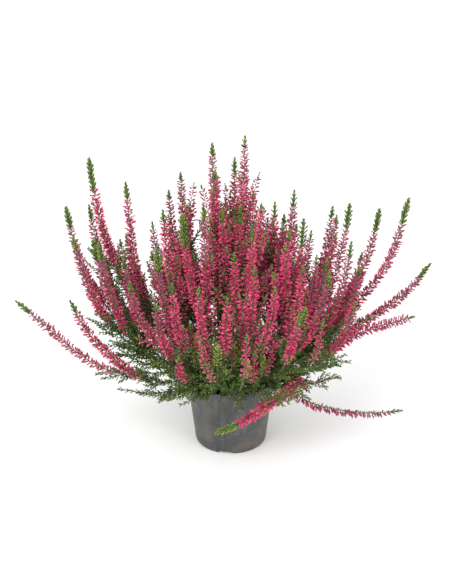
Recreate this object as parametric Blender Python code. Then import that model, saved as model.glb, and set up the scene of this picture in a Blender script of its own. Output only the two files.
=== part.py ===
"""A potted heather: a grey nursery pot full of peat, woody stems and the flower spikes they carry.

Sizes inside the functions are in millimetres, and each finished mesh is brought down to metres.
The pot stands on the XY plane with its axis on Z. The plant's front faces -Y.
"""

import math
import random

import bmesh
import bpy
import numpy as np
from mathutils import Matrix, Vector

METRES_PER_MM = 0.001
SEAT_GAP = 0.3                # between two pieces that meet

# Pot: a 10.5 cm nursery pot
RIM_RADIUS = 52.5
RIM_HEIGHT = 84.0
RIM_LIP_DEPTH = 6.5
RIM_LIP_REACH = 1.5           # how far the lip stands out from the wall
WALL = 1.3
BASE_RADIUS = 42.4            # outside of the wall where the rounded bottom edge begins
BASE_ROUND_HEIGHT = 8.0
FOOT_OUTER_RADIUS = 39.8
FOOT_INNER_RADIUS = 33.0
FOOT_HEIGHT = 4.8
POT_SIDES = 24
FOOT_COUNT = 3
NOTCH_WIDTH = 18.0
NOTCH_HEIGHT = 4.2
FIRST_NOTCH_ANGLE = math.radians(-99)
DRAIN_COUNT = 6
DRAIN_RADIUS = 3.5
DRAIN_RING_RADIUS = 19.0
DRAIN_SIDES = 6
BOTTOM_TURNS = (0.0, 0.45, 1.0)   # how far round the bottom edge its rings lie

# Peat
SOIL_EDGE_HEIGHT = 73.0
SOIL_CROWN_HEIGHT = 76.0
SOIL_FLAT_RADIUS = 27.0       # the flat middle of the peat, where the stems stand

# Woody stems: one in the middle and a ring of others, each in a plain hole in the peat
RING_STEMS = 6
RING_STEM_RADIUS = 20.0
FIRST_STEM_ANGLE = math.radians(-90)
CENTRE_SHARE = 46.0           # shoots whose tips lie this near the axis grow from the middle stem
TRUNK_RADIUS = 2.6
TRUNK_SIDES = 6
TRUNK_FOOT = 48.0
TRUNK_TOP = 92.0
TRUNK_TAPER = 0.75            # top radius over foot radius
TRUNK_SPREAD = 1.05           # the ring leans out by this much at its top
BRANCH_START = (80.5, 90.5)   # heights between which the branches leave the trunk
FAR_OUT = 120.0               # a shoot that reaches this far starts at the lower height
START_LEVELS = 5              # branches of the same aim start at slightly different heights
START_STAGGER = 0.53
START_OFFSET = 0.9            # from the trunk's middle towards the branch
BRANCH_RADIUS = 1.7
BRANCH_STEP = 24.0            # between the rings of a branch, where its side twigs root

# Shoots: how a plain upright one spreads and rises on its way to its tip
SHOOT_STATIONS = 28
CURVE_STEPS = 24              # points of a smooth curve between two given ones
SPREAD = 0.90
LIFT = 0.20
FOOT_SHARE = 0.27             # where along a shoot its spike sits on the branch
FORK_SHARE = 0.31             # where a second spike leaves the first
FORK_END_SHARE = 0.48
FORK_SINK = 2.5               # how far below the fork the second spike is rooted in the first
SPIKE_NODES = 51

# Bending clear: neighbours push one another apart where their buds would touch
CLEARANCE = 0.7
BARE_CLEARANCE = 0.8          # round a bare stem
LEAF_CLEARANCE = 0.5          # round a leafy tip
LEAFY_SHARE = 0.75            # the outer part of a budless shoot that carries leaves
NEIGHBOUR_MARGIN = 14.0       # neighbours further apart than this never meet
SPREAD_ROUNDS = 140
CLOSE_ENOUGH = 0.05
PUSH_SHARE = 0.25
LONGEST_PUSH = 2.0
SHARED_START = 0.12           # shoots of one stem may touch up to here
FIXED_START = 0.08            # the part of a shoot that stays put
FREEING_SHARE = 0.2           # over which it comes free

# Flower buds, larger than life and fewer than on the plant, and the leafy tip above them
STEM_RADIUS = 1.35
STEM_SIDES = 3                # a whorl has a bud or a leaf on each side of its stem
WHORL_TURN = math.radians(60)
ROOT_SHARE = 0.45             # how slim a spike, a branch or a twig is where it is sunk in what bears it
BARE_STEP = 28.0              # between the rings of a bare stem
SHORTEST_BARE = 6.0
FORK_ROOM = 3.0               # between the fork's ring and the next one
WHORL_PITCH = 11.3
BUD_RING_RADIUS = 1.75
BUD_REACH = 6.4
BUD_RISE = (1.0, 5.0)
BUD_EVENNESS = (0.78, 1.04)   # the shortest and the longest bud, against BUD_REACH
BUD_SEED = 8
LOW_FULLNESS = 0.78           # the lowest buds, and how much the topmost ones shrink
TOP_SHRINK = 0.18
SHRINK_FROM = 0.6
TIP_PITCH = 11.0
TIP_RING_RADIUS = 1.5
TIP_LEAF_REACH = 3.4
TIP_LEAF_RISE = 4.5
TIP_NARROWING = 0.35
TIP_LENGTH = 1.5

# Leafy twigs
TWIG_RADIUS = 1.15
TWIG_PITCH = 10.0
TWIG_NARROWING = 0.3
TWIG_BARE = 2.0
TWIG_TIP = 2.5
SHOOT_BARE_SHARE = 0.3
NEEDLE_REACH = 4.3
NEEDLE_RISE = 3.2
NEEDLE_EVENNESS = (0.9, 1.0)
TWIG_LENGTH = (22, 34)
TWIG_DROOP = (-4, 5)
TWIG_STATIONS = 10
TWIG_TRIES = 26
TWIG_COUNT = 12
TWIG_SEED = 11
TWIG_ROOM = 1.2               # round a twig's needles, and how fast its room grows from its root
TWIG_ROOM_GROWTH = 1.3
RIM_ROOM = 6.0
LOWEST_TWIG = 60.0

# Upright shoots: tip x, y, z, then the length that carries buds and the length of the green tip
UPRIGHT_SHOOTS = [
    (-158, 30, 341, 90, 40), (-160, 62, 275, 60, 20), (-183, 5, 293, 95, 28), (-172, -34, 275, 95, 20),
    (-154, -4, 257, 75, 28), (-141, -38, 269, 100, 22), (-122, 60, 238, 70, 15), (-112, 25, 314, 130, 22),
    (-115, -25, 243, 80, 15), (-113, -72, 232, 85, 15), (-95, 0, 235, 70, 12), (-80, -60, 270, 110, 30),
    (-82, -112, 227, 75, 12), (-57, 45, 319, 80, 12), (-74, 72, 284, 80, 12), (-75, -12, 296, 85, 15),
    (-57, -40, 301, 110, 42), (-52, 2, 286, 55, 40), (-52, 92, 259, 80, 14),
    (-30, -45, 315, 105, 20), (-62, -92, 245, 90, 15), (-33, -108, 246, 90, 12),
    (-38, -130, 198, 60, 10), (-21, 40, 355, 110, 16), (-18, 10, 331, 75, 12), (-12, 84, 274, 60, 12),
    (-10, -22, 300, 65, 16), (4, 58, 332, 80, 20), (15, 27, 368, 100, 15), (14, -6, 300, 60, 24),
    (-3, -112, 233, 80, 10), (0, -58, 262, 90, 12), (26, 82, 282, 60, 10), (36, -28, 300, 75, 12),
    (22, -60, 298, 90, 22), (24, -88, 260, 90, 12), (46, -70, 277, 95, 12), (16, -136, 206, 60, 10),
    (46, 38, 286, 60, 20), (44, 105, 238, 80, 12), (62, 66, 260, 55, 14), (60, -46, 285, 85, 14),
    (50, -108, 244, 85, 10), (70, 12, 310, 90, 20), (79, -28, 292, 60, 36),
    (80, 92, 234, 75, 12), (76, -84, 261, 90, 12), (92, -118, 213, 60, 12),
    (92, -56, 261, 95, 12), (114, 20, 288, 95, 15), (122, 58, 261, 85, 12), (106, -38, 248, 80, 18),
    (108, -82, 252, 85, 22), (130, -8, 302, 120, 30), (130, -44, 272, 100, 20),
    (134, -76, 215, 70, 12), (142, -26, 231, 70, 12), (150, 22, 204, 60, 12), (166, 15, 287, 95, 30),
    (-132, 95, 215, 70, 12), (-95, 122, 228, 70, 12), (-58, 140, 220, 70, 12), (-20, 126, 240, 75, 12),
    (15, 142, 222, 70, 12), (52, 138, 226, 70, 12), (94, 126, 216, 70, 12), (126, 98, 222, 70, 12),
    (154, 60, 214, 70, 12), (-16, -96, 186, 60, 10), (22, -104, 168, 50, 10), (2, -82, 205, 70, 10),
    (-48, -72, 185, 60, 10), (46, -88, 184, 60, 10),
]

# Shoots that lean out, droop or hang: the points they pass, the last being the tip, then the same lengths
WILD_SHOOTS = [
    ([(60, -3, 100), (101, -4, 122), (143, -5, 178), (178, -3, 232), (196, 0, 305)], 130, 32),
    ([(70, 18, 97), (115, 28, 104), (152, 36, 130), (205, 50, 164), (235, 56, 202)], 150, 24),
    ([(60, -22, 106), (110, -38, 132), (143, -45, 160), (187, -50, 178), (204, -52, 184)], 110, 8),
    ([(56, -28, 92), (76, -34, 74), (98, -38, 64), (133, -40, 57), (170, -40, 55), (199, -40, 58)], 120, 16),
    ([(50, -36, 104), (72, -50, 110), (72, -64, 105), (56, -72, 95), (36, -74, 80), (12, -72, 61), (-20, -66, 42)],
     75, 34),
    ([(-70, -22, 97), (-133, -38, 108), (-170, -46, 134), (-203, -53, 171), (-236, -60, 208)], 130, 22),
    ([(-50, -34, 96), (-86, -50, 98), (-115, -54, 118), (-154, -52, 157), (-178, -50, 204)], 110, 18),
    ([(50, -70, 120), (60, -105, 160), (66, -140, 205), (76, -148, 242)], 80, 25),
    ([(-40, -70, 110), (-55, -102, 140), (-56, -114, 170)], 45, 12),
    ([(-10, -60, 108), (-16, -100, 135), (-14, -134, 192)], 0, 40),
    ([(40, 70, 105), (75, 130, 125), (92, 148, 168)], 60, 12),
    ([(-45, 60, 105), (-80, 110, 125), (-105, 146, 165)], 60, 12),
]

# Leafy shoots without buds, mostly over the rim: the points they pass, the last being the tip
LEAFY_SHOOTS = [
    [(60, -55, 112), (90, -78, 138), (112, -92, 158)],
    [(58, -48, 97), (90, -62, 106), (119, -72, 120)],
    [(-45, -34, 93), (-84, -48, 86), (-126, -54, 94)],
    [(-42, -44, 93), (-72, -62, 90), (-104, -70, 98)],
    [(-34, -50, 93), (-58, -68, 92), (-80, -80, 94)],
    [(-24, -54, 94), (-40, -70, 93), (-56, -82, 90)],
    [(24, -62, 98), (50, -92, 104), (78, -104, 120)],
    [(-66, 8, 96), (-98, 14, 92), (-134, 18, 104)],
    [(62, 20, 96), (92, 34, 92), (122, 44, 100)],
    [(-30, 58, 94), (-48, 88, 90), (-66, 112, 100)],
    [(30, 60, 94), (46, 92, 92), (56, 118, 104)],
    [(0, 64, 96), (-4, 98, 96), (-8, 126, 112)],
    [(-14, -46, 100), (-19, -59, 126), (-17, -67, 158)],
    [(3, -50, 106), (3, -62, 130), (1, -70, 160)],
    [(15, -50, 106), (18, -66, 122), (17, -79, 145)],
    [(-34, -30, 104), (-41, -44, 132), (-38, -50, 164)],
    [(32, -36, 102), (38, -60, 124), (34, -70, 150)],
    [(-6, -20, 110), (-10, -34, 148)],
    [(8, -16, 112), (16, -24, 150)],
]

FINISHES = {                  # colour, roughness, metallic
    "pot_plastic": ((0.105, 0.105, 0.108), 0.42, 0.0),
    "peat": ((0.035, 0.022, 0.014), 0.95, 0.0),
    "leafy_wood": ((0.055, 0.085, 0.025), 0.70, 0.0),
    "flower_buds": ((0.62, 0.035, 0.13), 0.55, 0.0),
}


def clear_scene():
    for thing in list(bpy.data.objects):
        bpy.data.objects.remove(thing, do_unlink=True)


def finish(name):
    """The Principled material of one kind of piece."""
    made = bpy.data.materials.get(name)
    if made:
        return made
    colour, roughness, metallic = FINISHES[name]
    made = bpy.data.materials.new(name)
    made.use_nodes = True
    shader = made.node_tree.nodes["Principled BSDF"]
    shader.inputs["Base Color"].default_value = (*colour, 1.0)
    shader.inputs["Roughness"].default_value = roughness
    shader.inputs["Metallic"].default_value = metallic
    made.diffuse_color = (*colour, 1.0)
    return made


def place_object(name, bm, finish_name):
    """Turns a bmesh in millimetres into a named object in metres."""
    bmesh.ops.recalc_face_normals(bm, faces=bm.faces)
    bmesh.ops.scale(bm, vec=(METRES_PER_MM,) * 3, verts=bm.verts)
    mesh = bpy.data.meshes.new(name)
    bm.to_mesh(mesh)
    bm.free()
    made = bpy.data.objects.new(name, mesh)
    bpy.context.scene.collection.objects.link(made)
    if finish_name:
        mesh.materials.append(finish(finish_name))
    return made


def cutter(name, bm):
    made = place_object(name, bm, None)
    made.hide_render = True
    made.display_type = "WIRE"
    return made


def cut(piece, tool):
    step = piece.modifiers.new(tool.name, "BOOLEAN")
    step.operation = "DIFFERENCE"
    step.solver = "EXACT"
    step.object = tool


def largest_body(mesh):
    """Keeps the largest body of a joined mesh, and tells whether it is closed.

    A scrap or a sealed pocket left by the joining goes.
    """
    bm = bmesh.new()
    bm.from_mesh(mesh)
    bodies, seen = [], set()
    for first in bm.verts:
        if first in seen:
            continue
        seen.add(first)
        body, waiting = [], [first]
        while waiting:
            vert = waiting.pop()
            body.append(vert)
            for edge in vert.link_edges:
                other = edge.other_vert(vert)
                if other not in seen:
                    seen.add(other)
                    waiting.append(other)
        bodies.append(body)
    largest = max(bodies, key=len)
    scraps = [vert for body in bodies if body is not largest for vert in body]
    bmesh.ops.delete(bm, geom=scraps, context="VERTS")
    bm.to_mesh(mesh)
    closed = all(edge.is_manifold for edge in bm.edges)
    bm.free()
    return closed


def union(first, others, name):
    """Joins closed pieces in one body and removes the pieces it was made of."""
    pool = bpy.data.collections.new(name + "_parts")
    bpy.context.scene.collection.children.link(pool)
    for piece in others:
        pool.objects.link(piece)
        bpy.context.scene.collection.objects.unlink(piece)
    step = first.modifiers.new("union", "BOOLEAN")
    step.operation = "UNION"
    step.operand_type = "COLLECTION"
    step.collection = pool
    step.use_self = True
    for solver in ("EXACT", "MANIFOLD"):
        step.solver = solver
        graph = bpy.context.evaluated_depsgraph_get()
        joined = bpy.data.meshes.new_from_object(first.evaluated_get(graph))
        if largest_body(joined):
            break
    first.modifiers.clear()
    first.data = joined
    for piece in others:
        bpy.data.objects.remove(piece, do_unlink=True)
    bpy.data.collections.remove(pool)


# The pot and the peat

def turned(profile, sides):
    """Spins an open profile of (radius, height) about the Z axis."""
    bm = bmesh.new()
    verts = [bm.verts.new((radius, 0.0, height)) for radius, height in profile]
    edges = [bm.edges.new(pair) for pair in zip(verts, verts[1:])]
    bmesh.ops.spin(bm, geom=verts + edges, cent=(0, 0, 0), axis=(0, 0, 1),
                   angle=math.tau, steps=sides, use_merge=True)
    bmesh.ops.remove_doubles(bm, verts=bm.verts, dist=0.001)
    bmesh.ops.dissolve_limit(bm, angle_limit=math.radians(0.5), verts=bm.verts, edges=bm.edges)
    return bm


def wall_radius(height):
    """Outside radius of the pot's straight wall, below the lip."""
    top = RIM_HEIGHT - RIM_LIP_DEPTH
    share = (height - BASE_ROUND_HEIGHT) / (top - BASE_ROUND_HEIGHT)
    return BASE_RADIUS + share * (RIM_RADIUS - RIM_LIP_REACH - BASE_RADIUS)


def bottom_edge(inset, lift):
    """The rounded bottom edge, from the foot up to the wall, set in by the wall's thickness inside."""
    points = []
    for turn in BOTTOM_TURNS:
        angle = turn * math.pi / 2
        radius = FOOT_OUTER_RADIUS + (BASE_RADIUS - FOOT_OUTER_RADIUS) * math.sin(angle) - inset
        points.append((radius, lift + (BASE_ROUND_HEIGHT - lift) * (1 - math.cos(angle))))
    return points


def make_pot():
    lip_foot = RIM_HEIGHT - RIM_LIP_DEPTH
    inside = bottom_edge(WALL, FOOT_HEIGHT + WALL)
    profile = [(0.0, FOOT_HEIGHT), (FOOT_INNER_RADIUS - 1.0, FOOT_HEIGHT), (FOOT_INNER_RADIUS, 0.0)]
    profile += bottom_edge(0.0, 0.0)
    profile += [
        (wall_radius(lip_foot), lip_foot), (RIM_RADIUS, lip_foot + 0.8), (RIM_RADIUS, RIM_HEIGHT),
        (wall_radius(RIM_HEIGHT) - WALL, RIM_HEIGHT),
    ]
    profile += inside[::-1] + [(0.0, FOOT_HEIGHT + WALL)]
    pot = place_object("pot", turned(profile, POT_SIDES), "pot_plastic")

    notches = bmesh.new()
    for count in range(FOOT_COUNT):
        angle = FIRST_NOTCH_ANGLE + count * math.tau / FOOT_COUNT
        block = bmesh.ops.create_cube(notches, size=1.0)["verts"]
        bmesh.ops.scale(notches, vec=(16.0, NOTCH_WIDTH, 2 * NOTCH_HEIGHT), verts=block)
        bmesh.ops.translate(notches, vec=(FOOT_OUTER_RADIUS, 0, 0), verts=block)
        bmesh.ops.rotate(notches, verts=block, cent=(0, 0, 0), matrix=Matrix.Rotation(angle, 3, "Z"))
    for count in range(DRAIN_COUNT):
        angle = FIRST_NOTCH_ANGLE + count * math.tau / DRAIN_COUNT
        drain = bmesh.ops.create_cone(notches, cap_ends=True, segments=DRAIN_SIDES, radius1=DRAIN_RADIUS,
                                      radius2=DRAIN_RADIUS, depth=10.0)["verts"]
        bmesh.ops.translate(notches, vec=(DRAIN_RING_RADIUS, 0, 5.0), verts=drain)
        bmesh.ops.rotate(notches, verts=drain, cent=(0, 0, 0), matrix=Matrix.Rotation(angle, 3, "Z"))
    cut(pot, cutter("foot_notches_and_drains", notches))


def stem_places():
    """Where each woody stem stands: the middle one first, then the ring."""
    places = [Vector((0, 0, 0))]
    for count in range(RING_STEMS):
        angle = FIRST_STEM_ANGLE + count * math.tau / RING_STEMS
        places.append(Vector((RING_STEM_RADIUS * math.cos(angle), RING_STEM_RADIUS * math.sin(angle), 0)))
    return places


def make_soil():
    floor = FOOT_HEIGHT + WALL + SEAT_GAP
    profile = [(0.0, floor)] + bottom_edge(WALL + SEAT_GAP, floor)
    profile += [(wall_radius(SOIL_EDGE_HEIGHT) - WALL - SEAT_GAP, SOIL_EDGE_HEIGHT),
                (SOIL_FLAT_RADIUS, SOIL_CROWN_HEIGHT), (0.0, SOIL_CROWN_HEIGHT)]
    soil = place_object("soil", turned(profile, POT_SIDES), "peat")
    holes = bmesh.new()
    hole_radius = TRUNK_RADIUS + SEAT_GAP / math.cos(math.pi / TRUNK_SIDES)
    depth = 60.0              # well past the top of the peat
    for place in stem_places():
        hole = bmesh.ops.create_cone(holes, cap_ends=True, segments=TRUNK_SIDES, radius1=hole_radius,
                                     radius2=hole_radius, depth=depth)["verts"]
        middle = TRUNK_FOOT - SEAT_GAP + depth / 2
        bmesh.ops.translate(holes, vec=place + Vector((0, 0, middle)), verts=hole)
    cut(soil, cutter("stem_holes", holes))


# Routes: the line that each shoot follows

def smooth_route(points, count=SHOOT_STATIONS):
    """Even stations along a smooth curve through the points."""
    known = np.array(points, float)
    padded = np.vstack([2 * known[0] - known[1], known, 2 * known[-1] - known[-2]])
    fine = []
    for index in range(1, len(padded) - 2):
        before, start, end, after = padded[index - 1:index + 3]
        for share in np.linspace(0, 1, CURVE_STEPS, endpoint=False):
            fine.append(0.5 * (2 * start + (end - before) * share
                               + (2 * before - 5 * start + 4 * end - after) * share ** 2
                               + (3 * start - before - 3 * end + after) * share ** 3))
    fine.append(known[-1])
    return even_stations(np.array(fine), count)


def even_stations(line, count):
    run = np.concatenate([[0.0], np.cumsum(np.linalg.norm(np.diff(line, axis=0), axis=1))])
    wanted = np.linspace(0.0, run[-1], count)
    return np.column_stack([np.interp(wanted, run, line[:, axis]) for axis in range(3)])


def arch(start, tip):
    """The plain upright route: out from the stem, then up."""
    start, tip = np.array(start, float), np.array(tip, float)
    bend = np.array([SPREAD * tip[0], SPREAD * tip[1], start[2] + LIFT * (tip[2] - start[2])])
    shares = np.linspace(0, 1, 2 * SHOOT_STATIONS)[:, None]
    return (1 - shares) ** 2 * start + 2 * shares * (1 - shares) * bend + shares ** 2 * tip


def length_of(route):
    return float(np.linalg.norm(np.diff(route, axis=0), axis=1).sum())


class Shoot:
    """One shoot: its route, the stem it grows from, and how far its buds and its green tip reach."""

    def __init__(self, number, tip, through, budded, green):
        self.tip = np.array(tip, float)
        self.budded, self.green = budded, green
        towards = np.array(through[0] if through else tip, float)
        self.stem = self.nearest_stem(towards)
        place = stem_places()[self.stem]
        lowest, highest = BRANCH_START
        height = highest - START_STAGGER * (number % START_LEVELS)
        if not through:
            height -= min(1.0, math.hypot(towards[0], towards[1]) / FAR_OUT) * (highest - lowest)
        heading = math.atan2(towards[1], towards[0])
        start = (TRUNK_SPREAD * place.x + START_OFFSET * math.cos(heading),
                 TRUNK_SPREAD * place.y + START_OFFSET * math.sin(heading), height)
        route = [start, *through, tip] if through else arch(start, tip)
        self.route = smooth_route(route) if through else even_stations(route, SHOOT_STATIONS)
        self.first = None     # the shoot this one forks from
        self.twigs = []       # the routes of the leafy side twigs on its branch

    def nearest_stem(self, towards):
        if math.hypot(self.tip[0], self.tip[1]) < CENTRE_SHARE:
            return 0
        angle = math.atan2(towards[1], towards[0]) - FIRST_STEM_ANGLE
        return 1 + round(angle / (math.tau / RING_STEMS)) % RING_STEMS

    def reach(self):
        """How far the shoot's buds or leaves stand out from its line, at each station."""
        total = length_of(self.route)
        left = np.linspace(1, 0, len(self.route)) * total
        reach = np.full(len(self.route), STEM_RADIUS + BARE_CLEARANCE)
        reach[left < self.budded + self.green] = BUD_REACH
        reach[left < self.green] = TIP_LEAF_REACH + LEAF_CLEARANCE
        if not self.budded:
            reach[left < LEAFY_SHARE * total] = NEEDLE_REACH
        return reach


def all_shoots():
    shoots = []
    for x, y, z, budded, green in UPRIGHT_SHOOTS:
        shoots.append(Shoot(len(shoots), (x, y, z), [], budded, green))
    for line, budded, green in WILD_SHOOTS:
        shoots.append(Shoot(len(shoots), line[-1], line[:-1], budded, green))
    leafy = []
    for line in LEAFY_SHOOTS:
        leafy.append(Shoot(len(shoots) + len(leafy), line[-1], line[:-1], 0, 0))
    return shoots, leafy


def pair_up(shoots):
    """Lets the nearest neighbours of one stem share a spike node until there are few enough nodes."""
    upright = shoots[:len(UPRIGHT_SHOOTS)]
    options = []
    for index, one in enumerate(upright):
        for other in upright[index + 1:]:
            if one.stem == other.stem:
                options.append((float(np.linalg.norm(one.tip - other.tip)), len(options), one, other))
    taken = []
    pairs = len(shoots) - SPIKE_NODES
    for _, _, one, other in sorted(options, key=lambda option: option[:2]):
        if pairs == 0:
            break
        if one in taken or other in taken:
            continue
        main, side = (one, other) if one.tip[2] >= other.tip[2] else (other, one)
        side.first = main
        taken += [one, other]
        pairs -= 1


def leave_first(first_route, own_route):
    """A second spike's route: the first one's up to the fork, then away to its own."""
    along = np.linspace(0, 1, SHOOT_STATIONS)
    left = 1 - np.clip((along - FORK_SHARE) / (FORK_END_SHARE - FORK_SHARE), 0, 1)[:, None]
    return first_route * left ** 2 + own_route * (1 - left ** 2)


def follow_first(shoots):
    for shoot in shoots:
        if shoot.first is not None:
            shoot.route = leave_first(shoot.first.route, shoot.route)


def bend_clear(shoots):
    """Bends neighbouring shoots apart where their buds would touch, evenly and a little at a time."""
    routes = np.array([shoot.route for shoot in shoots])
    plain = routes.copy()
    reach = np.array([shoot.reach() for shoot in shoots])
    count, stations = reach.shape
    owner = np.repeat(np.arange(count), stations)
    along = np.tile(np.linspace(0, 1, stations), count)
    family = np.array([shoots.index(shoot.first or shoot) for shoot in shoots])
    stem = np.array([shoot.stem for shoot in shoots])
    same = owner[:, None] == owner[None, :]
    low = (along[:, None] < FORK_END_SHARE) & (along[None, :] < FORK_END_SHARE)
    same |= (family[owner][:, None] == family[owner][None, :]) & low
    at_root = (along[:, None] < SHARED_START) & (along[None, :] < SHARED_START)
    same |= (stem[owner][:, None] == stem[owner][None, :]) & at_root
    wanted = reach.ravel()[:, None] + reach.ravel()[None, :] + CLEARANCE
    wanted[same] = 0.0
    loose = np.clip((np.linspace(0, 1, stations) - FIXED_START) / FREEING_SHARE, 0, 1)[None, :, None]
    start = routes.reshape(-1, 3)
    distance = np.sqrt(((start[:, None, :] - start[None, :, :]) ** 2).sum(-1))
    near = (distance < wanted + NEIGHBOUR_MARGIN) & (wanted > 0)
    one, other = np.nonzero(np.triu(near))
    wanted = wanted[one, other]
    for _ in range(SPREAD_ROUNDS):
        flat = routes.reshape(-1, 3)
        apart = flat[one] - flat[other]
        distance = np.sqrt((apart ** 2).sum(-1)) + 1e-6
        short = np.clip(wanted - distance, 0, None)
        if short.max() < CLOSE_ENOUGH:
            break
        shove = apart / distance[:, None] * short[:, None] * PUSH_SHARE
        push = np.zeros_like(flat)
        np.add.at(push, one, shove)
        np.add.at(push, other, -shove)
        size = np.linalg.norm(push, axis=1, keepdims=True)
        push *= np.minimum(1.0, LONGEST_PUSH / np.maximum(size, 1e-6))
        moved = routes + push.reshape(routes.shape) - plain
        for _ in range(2):
            moved[:, 1:-1] = 0.25 * moved[:, :-2] + 0.5 * moved[:, 1:-1] + 0.25 * moved[:, 2:]
            moved[:, -1] = 0.5 * moved[:, -1] + 0.5 * moved[:, -2]
        routes = plain + moved * loose
        for index, shoot in enumerate(shoots):
            if shoot.first is not None:
                routes[index] = leave_first(routes[family[index]], routes[index])
    for shoot, route in zip(shoots, routes):
        shoot.route = route


# Growing: tubes that follow a route, with buds and leaves drawn out of their sides

class Track:
    """A route with a direction and a sideways vector carried along it without twist."""

    def __init__(self, route):
        self.points = np.asarray(route, float)
        steps = np.diff(self.points, axis=0)
        self.run = np.concatenate([[0.0], np.cumsum(np.linalg.norm(steps, axis=1))])
        self.length = float(self.run[-1])
        tangents = np.gradient(self.points, axis=0)
        self.tangents = tangents / np.linalg.norm(tangents, axis=1, keepdims=True)
        side = np.cross(self.tangents[0], (0.31, 0.83, 0.46))
        sides = []
        for tangent in self.tangents:
            side = side - tangent * np.dot(side, tangent)
            side = side / np.linalg.norm(side)
            sides.append(side)
        self.sides = np.array(sides)

    def at(self, distance):
        def read(rows):
            return Vector([float(np.interp(distance, self.run, rows[:, axis])) for axis in range(3)])
        tangent = read(self.tangents).normalized()
        side = read(self.sides)
        side = (side - tangent * side.dot(tangent)).normalized()
        return read(self.points), tangent, side

    def ring(self, distance, radius, turn, sides):
        centre, tangent, side = self.at(distance)
        across = tangent.cross(side)
        places = []
        for count in range(sides):
            angle = turn + count * math.tau / sides
            places.append(centre + radius * (math.cos(angle) * side + math.sin(angle) * across))
        return places


class Tube:
    """A stem that grows ring by ring from the end face of what is there already."""

    def __init__(self, track, start, radius, sides, turn=0.0):
        self.bm = bmesh.new()
        self.track, self.sides, self.turn, self.distance = track, sides, turn, start
        circle = bmesh.ops.create_circle(self.bm, cap_ends=True, segments=sides, radius=radius)["verts"]
        for vert, place in zip(circle, track.ring(start, radius, turn, sides)):
            vert.co = place
        self.end = next(iter(self.bm.faces))
        self.started = False

    def grow(self, distance, radius, twist=0.0):
        self.turn += twist
        places = self.track.ring(distance, radius, self.turn, self.sides)
        if self.started:
            self.end = bmesh.ops.extrude_discrete_faces(self.bm, faces=[self.end])["faces"][0]
        else:
            made = bmesh.ops.extrude_face_region(self.bm, geom=[self.end])["geom"]
            self.end = next(item for item in made if isinstance(item, bmesh.types.BMFace))
            self.started = True
        for vert, place in zip(self.end.verts, places):
            vert.co = place
        self.distance = distance
        return [face for edge in self.end.edges for face in edge.link_faces if face is not self.end]

    def draw_out(self, faces, low, high, sizes):
        """Draws each side face out to a point, a bud or a leaf, with its own reach and rise."""
        centre, tangent, _ = self.track.at(0.5 * (low + high))
        for face in faces:
            reach, rise = sizes()
            outward = face.calc_center_median() - centre
            outward = (outward - tangent * outward.dot(tangent)).normalized()
            point = bmesh.ops.poke(self.bm, faces=[face])["verts"][0]
            point.co = centre + outward * reach + tangent * rise

    def close(self, length):
        """Ends the tube in a point."""
        tip = bmesh.ops.poke(self.bm, faces=[self.end])["verts"][0]
        centre, tangent, _ = self.track.at(self.distance)
        tip.co = centre + tangent * length


def spike(shoot, start, fork, rng):
    """A flower spike: bare stem, whorls of buds, then a green tip of small upright leaves.

    The fork is where a second spike leaves this one, or 0 where this one is such a second spike.
    """
    track = Track(shoot.route)
    green_from = track.length - shoot.green
    buds_from = max(green_from - shoot.budded, start + SHORTEST_BARE)
    root = STEM_RADIUS if fork else ROOT_SHARE * STEM_RADIUS
    tube = Tube(track, start, root, STEM_SIDES, turn=rng.uniform(0, math.tau))
    bare_from = start
    if start + FORK_ROOM < fork < buds_from - FORK_ROOM:
        tube.grow(fork, STEM_RADIUS)
        bare_from = fork
    bare = max(1, round((buds_from - bare_from) / BARE_STEP))
    for count in range(1, bare + 1):
        radius = BUD_RING_RADIUS if count == bare else STEM_RADIUS
        tube.grow(bare_from + (buds_from - bare_from) * count / bare, radius)
    whorls = round((green_from - buds_from) / WHORL_PITCH)
    for count in range(whorls):
        low = buds_from + (green_from - buds_from) * count / whorls
        high = buds_from + (green_from - buds_from) * (count + 1) / whorls
        share = (count + 0.5) / whorls
        shrinking = TOP_SHRINK * max(0.0, share - SHRINK_FROM) / (1.0 - SHRINK_FROM)
        reach = BUD_REACH * min(1.0, LOW_FULLNESS + share) * (1.0 - shrinking)
        faces = tube.grow(high, BUD_RING_RADIUS, twist=WHORL_TURN)
        tube.draw_out(faces, low, high, lambda: (reach * rng.uniform(*BUD_EVENNESS), rng.uniform(*BUD_RISE)))
    leaves = max(1, round(shoot.green / TIP_PITCH))
    for count in range(leaves):
        low = green_from + shoot.green * count / leaves
        high = green_from + shoot.green * (count + 0.9) / leaves
        narrowing = 1.0 - TIP_NARROWING * (count + 1) / leaves
        faces = tube.grow(high, TIP_RING_RADIUS * narrowing, twist=WHORL_TURN)
        tube.draw_out(faces, low, high, lambda: (TIP_LEAF_REACH * narrowing, TIP_LEAF_RISE))
    tube.close(TIP_LENGTH)
    return tube.bm


def branch_steps(until):
    return max(2, round(until / BRANCH_STEP))


def bare_branch(shoot, until):
    track = Track(shoot.route)
    tube = Tube(track, 0.0, ROOT_SHARE * BRANCH_RADIUS, STEM_SIDES, turn=shoot.tip[0])
    steps = branch_steps(until)
    for count in range(1, steps + 1):
        share = count / steps
        tube.grow(until * share, BRANCH_RADIUS + (STEM_RADIUS - BRANCH_RADIUS) * share)
    return tube.bm


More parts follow.
